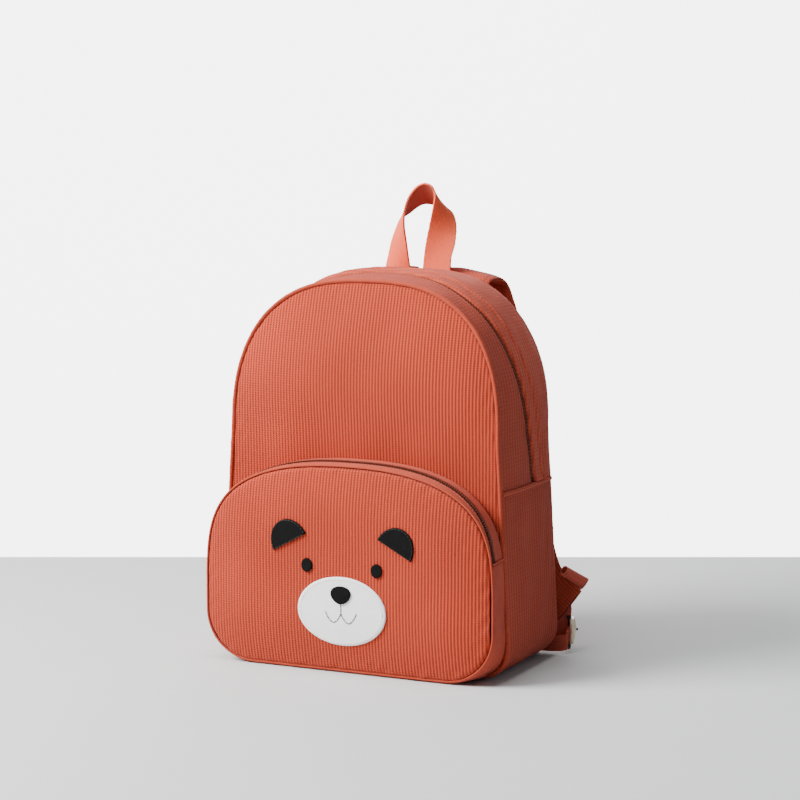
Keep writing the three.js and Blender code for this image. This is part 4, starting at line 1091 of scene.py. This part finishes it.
# Each end of the roll: its middle, its radius, and the two directions that its circle lies in.
ROLL_ENDS = (
    ((123.3, 112.2, 66.9), 3.7, (0.215, 0.49, 0.845), (0.834, -0.542, 0.102)),
    ((135.5, 128.6, 54.3), 4.4, (0.456, 0.332, 0.826), (0.435, -0.892, 0.119)),
)
for i in range(11):
    turn = math.radians(i * 33 - 90)
    tightened = 1 - 0.03 * max(0, i - 5)
    edges = []
    for middle, radius, up, out in ROLL_ENDS:
        swung = math.cos(turn) * np.array(up) + math.sin(turn) * np.array(out)
        edges.extend(np.array(middle) + radius * tightened * swung)
    TAIL.append(edges)


def upright(rows, half):
    """Both edges of a web that stands on edge, from its middle line."""
    return [(x, y, z - half, x, y, z + half) for x, y, z in rows]


WEBS = (
    ("adjuster_webbing", upright(ADJUSTER, ADJUSTER_HALF), 70, 1.6, ["adjuster_web"]),
    ("lock_webbing", LOCK, 80, WEB_THICK, ["lock_web"]),
    ("adjuster_return", upright(RETURN, RETURN_HALF), 40, WEB_THICK, []),
    ("tail_webbing", TAIL, 130, WEB_THICK, ["tail_web"]),
)
# The lower webs take the webbing in painted shade.
for side, mirror in SIDES:
    for name, rows, count, thick, sources in WEBS:
        path = through(rows, count) * (mirror, 1, 1, mirror, 1, 1)
        ribbon(f"{name}_{side}", path[:, :3], path[:, 3:], thick,
               *(f"{source}_{side}" for source in sources), finish=WEBBING_SHADE_LOW)

# Buckles and sliders: a flat frame of pale gold metal with a bar across it and a stud, both
# black, hangs in each lower web. The zips' sliders are of the same black metal.
METAL = {"depth": 0.0001, "strength": 0.3, "Specular_IOR_Level": 0.5}
PALE_METAL = speckled("pale gold metal", (0.74, 0.63, 0.44), (0.86, 0.77, 0.6), 400.0, 1500.0,
                      Roughness=0.36, Metallic=0.35, **METAL)
BLACK_METAL = speckled("black metal", (0.012, 0.012, 0.012), (0.03, 0.028, 0.027), 900.0, 900.0,
                       Roughness=0.42, Metallic=0.4, **METAL)


def softened(name, source, width, finish, slot):
    """A copy of a hard solid with its edges rounded, which stands for it."""
    bpy.ops.object.select_all(action="DESELECT")
    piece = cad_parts[source].copy()
    piece.data = piece.data.copy()
    piece.name = piece.data.name = name
    piece.parent = None
    bpy.context.collection.objects.link(piece)
    piece.select_set(True)
    bpy.context.view_layer.objects.active = piece
    bpy.ops.object.mode_set(mode="EDIT")
    bpy.ops.mesh.select_all(action="SELECT")
    bpy.ops.mesh.remove_doubles(threshold=0.00002)
    bpy.ops.mesh.dissolve_limited(angle_limit=math.radians(4))
    bpy.ops.object.mode_set(mode="OBJECT")
    rounding = piece.modifiers.new("rounding", "BEVEL")
    rounding.width = width / 1000
    rounding.segments = 3
    rounding.limit_method = "ANGLE"
    rounding.angle_limit = math.radians(40)
    bpy.ops.object.modifier_apply(modifier="rounding")
    bpy.ops.object.shade_smooth_by_angle(angle=math.radians(40))
    piece.data.materials.clear()
    piece.data.materials.append(finish)
    ride(piece, slot, source)


# The frame is a square with round corners; its upright sides are thicker and stand further out.
turn = np.linspace(0, 2 * math.pi, 65)[:, None]
section = np.linspace(0, 2 * math.pi, 17)[None]
arched = np.cos(math.pi / 2 * np.abs(np.sin(turn)) ** 0.5)
ring_out = 1.3 * arched + (1.5 + 0.6 * arched) * np.sin(section)
ring_along = np.sign(np.cos(turn)) * np.abs(np.cos(turn)) ** 0.5 * (9.2 + 1.2 * np.cos(section))
ring_up = np.sign(np.sin(turn)) * np.abs(np.sin(turn)) ** 0.6 * (9.4 + 1.2 * np.cos(section))
ring = np.stack(buckle_spot(ring_along, ring_out, ring_up), -1)
ring[-1] = ring[0]
ring[:, -1] = ring[:, 0]

# Height along the bar and its radius there: a knob at each end.
KNOBS = (
    (-15.6, 0.1), (-15.4, 1.3), (-13.2, 2.1), (-11, 1.9), (-9.2, 1.2),
    (-8, 0.6), (8.6, 0.6), (9.4, 1.3), (11.4, 1.7), (12.4, 0.1),
)
BAR_OUT = -2.6
up, reach = (np.array(column)[:, None] for column in zip(*KNOBS))
rod_spots = buckle_spot(reach * np.cos(section), reach * np.sin(section) + BAR_OUT, up)
rod = np.stack(np.broadcast_arrays(*rod_spots), -1)
rod[:, -1] = rod[:, 0]
for side, mirror in SIDES:
    shown = ring * (mirror, 1, 1)
    metal = lay_cloth(f"buckle_frame_{side}_metal", shown[::mirror], shown[..., :2], 0, PALE_METAL)
    ride(metal, "pale_gold", f"buckle_frame_{side}")
    shown = rod * (mirror, 1, 1)
    bar = lay_cloth(f"buckle_bar_{side}_metal", shown[::mirror], shown[..., :2], 0, BLACK_METAL)
    stud = (np.array(buckle_spot(1, 4.2, 0.8)) * (mirror, 1, 1) - (0, DEPTH / 2, 0)) / 1000
    bpy.ops.object.select_all(action="DESELECT")
    bpy.ops.mesh.primitive_uv_sphere_add(segments=12, ring_count=8, radius=0.001, location=stud)
    bpy.context.object.data.materials.append(BLACK_METAL)
    bpy.ops.object.shade_smooth()
    bar.select_set(True)
    bpy.context.view_layer.objects.active = bar
    bpy.ops.object.join()
    bpy.ops.object.transform_apply()
    ride(bar, "bar_black", f"buckle_bar_{side}")
for which in ("main", "pocket"):
    softened(f"{which}_slider_metal", f"{which}_slider", 0.35, BLACK_METAL, "slider_black")


# Felt face: a simple bear, cut from white and black wool felt and sewn on the pocket round its
# edges. Two half-round ears, two eyes, a muzzle with its nose, and a stitched mouth.
def felt_finish(name, light, dark):
    material, tree, shader = new_material(
        name, Roughness=0.95, Specular_IOR_Level=0.06, Sheen_Weight=0.6 * light[0] ** 4, Sheen_Roughness=0.8)
    fibres = grain(tree, 900.0, 4.0)
    tufts = grain(tree, 220.0, 3.0)
    amount = sums(tree, "MULTIPLY_ADD", fibres, 0.6, sums(tree, "MULTIPLY", tufts, 0.4))
    dress(tree, shader, blended(tree, amount, dark, light), amount, 0.0006, 0.6)
    return material


WHITE_FELT = felt_finish("white felt", (0.95, 0.95, 0.94), (0.8, 0.8, 0.79))
BLACK_FELT = felt_finish("black felt", (0.009, 0.009, 0.009), (0.004, 0.004, 0.004))
FELT = 1.2
TOWARDS_FRONT = (0, -1, 0)


def felt_shape(name, loop, middle, lift, finish, slot, source, thread=None):
    """A flat shape of felt on the pocket, from its edge loop in millimetres to a middle."""
    rings = np.array([1, 0.985, 0.96, 0.9, 0.75, 0.5, 0.25, 0.02])
    puffed = np.array([0.25, 0.75, 0.95, 1, 1.02, 1.05, 1.05, 1.05])
    spots = np.array(middle) + (loop - middle)[None] * rings[:, None, None]
    x, z = spots[..., 0], spots[..., 1]
    y = pocket_y(x, z) - lift - FELT * puffed[:, None] - 0.12 * uneven(x, z, 8, 91)
    base = pocket_y(x[:1], z[:1]) - lift + 0.2
    places = np.stack([np.concatenate([x[:1], x]), np.concatenate([base, y]), np.concatenate([z[:1], z])], -1)
    places = np.concatenate([places, places[:, :1]], 1)
    piece = lay_cloth(name, places, places[..., [0, 2]], 0, finish)
    close_ends()
    ride(piece, slot, source)
    if thread:
        ring = np.array(middle) + (np.concatenate([loop, loop[:1]]) - middle) * 0.93
        line = np.stack([ring[:, 0], pocket_y(ring[:, 0], ring[:, 1]) - lift - FELT - 0.1, ring[:, 1]], 1)
        sewn(f"{name}_stitches", line, TOWARDS_FRONT, STITCH_STEP, thread, slot)


def oval(x, z, wide, tall, narrow=0.0):
    """The edge of an oval, which may narrow downwards."""
    turn = np.linspace(0, 2 * math.pi, 73)[:-1]
    pinch = 1 - narrow * (1 - np.sin(turn)) / 2
    return np.stack([x + wide * np.cos(turn) * pinch, z + tall * np.sin(turn)], 1)


WHITE_THREAD = speckled("white thread", (0.7, 0.69, 0.66), (0.85, 0.84, 0.8), **NYLON)
BLACK_THREAD = speckled("black thread", (0.015, 0.015, 0.015), (0.04, 0.038, 0.036), **NYLON)
ON_CLOTH, ON_MUZZLE, MOUTH_LIFT = 0.35, 1.9, 1.75
MUZZLE = {"x": 0, "z": 50, "wide": 38, "tall": 27}
NOSE = {"x": 0, "z": 63, "wide": 10, "tall": 7, "narrow": 0.3}
EYE = {"x": 30, "z": 84, "wide": 4.6, "tall": 5.4}
EAR = {"x": 45, "z": 101, "wide": 16, "tall": 18, "tilt": math.radians(28)}
MOUTH = {"z": 49, "wide": 13, "sag": 7.5, "top": 56.5}


def mouth_line(name, x, z):
    """A line of the mouth, sewn with long black stitches."""
    line = np.stack([x, pocket_y(x, z) - MOUTH_LIFT, z], 1)
    sewn(name, line, TOWARDS_FRONT, 3.6, BLACK_THREAD, "black_felt", 1.5)


felt_shape("muzzle_felt", oval(**MUZZLE), (MUZZLE["x"], MUZZLE["z"]), ON_CLOTH,
           WHITE_FELT, "white_felt", "muzzle", WHITE_THREAD)
felt_shape("nose_felt", oval(**NOSE), (NOSE["x"], NOSE["z"]), ON_MUZZLE, BLACK_FELT, "black_felt", "nose")
turn = np.linspace(0, math.pi, 60)
flat = np.linspace(-1, 1, 26)[1:-1]
bend = np.linspace(0, 1, 60)
for side, mirror in SIDES:
    eye = {**EYE, "x": EYE["x"] * mirror}
    felt_shape(f"eye_{side}_felt", oval(**eye), (eye["x"], eye["z"]), ON_CLOTH,
               BLACK_FELT, "black_felt", f"eye_{side}")
    tilt = EAR["tilt"] * mirror
    ear_x = EAR["wide"] * np.concatenate([np.cos(turn), flat])
    ear_z = EAR["tall"] * np.concatenate([np.sin(turn), 0 * flat])
    ear = np.stack([EAR["x"] * mirror + ear_x * math.cos(tilt) + ear_z * math.sin(tilt),
                    EAR["z"] - ear_x * math.sin(tilt) + ear_z * math.cos(tilt)], 1)
    middle = (EAR["x"] * mirror + 6 * math.sin(tilt), EAR["z"] + 6 * math.cos(tilt))
    felt_shape(f"ear_{side}_felt", ear, middle, ON_CLOTH,
               BLACK_FELT, "black_felt", f"ear_{side}", BLACK_THREAD)
    mouth_line(f"mouth_{side}_stitches", mirror * MOUTH["wide"] * bend,
               MOUTH["z"] - MOUTH["sag"] * np.sin(math.pi * bend) ** 0.8)
up_to_nose = np.linspace(MOUTH["z"], MOUTH["top"], 30)
mouth_line("mouth_middle_stitches", 0 * up_to_nose, up_to_nose)

for pattern in (tooth, stitch):
    bpy.data.objects.remove(pattern)
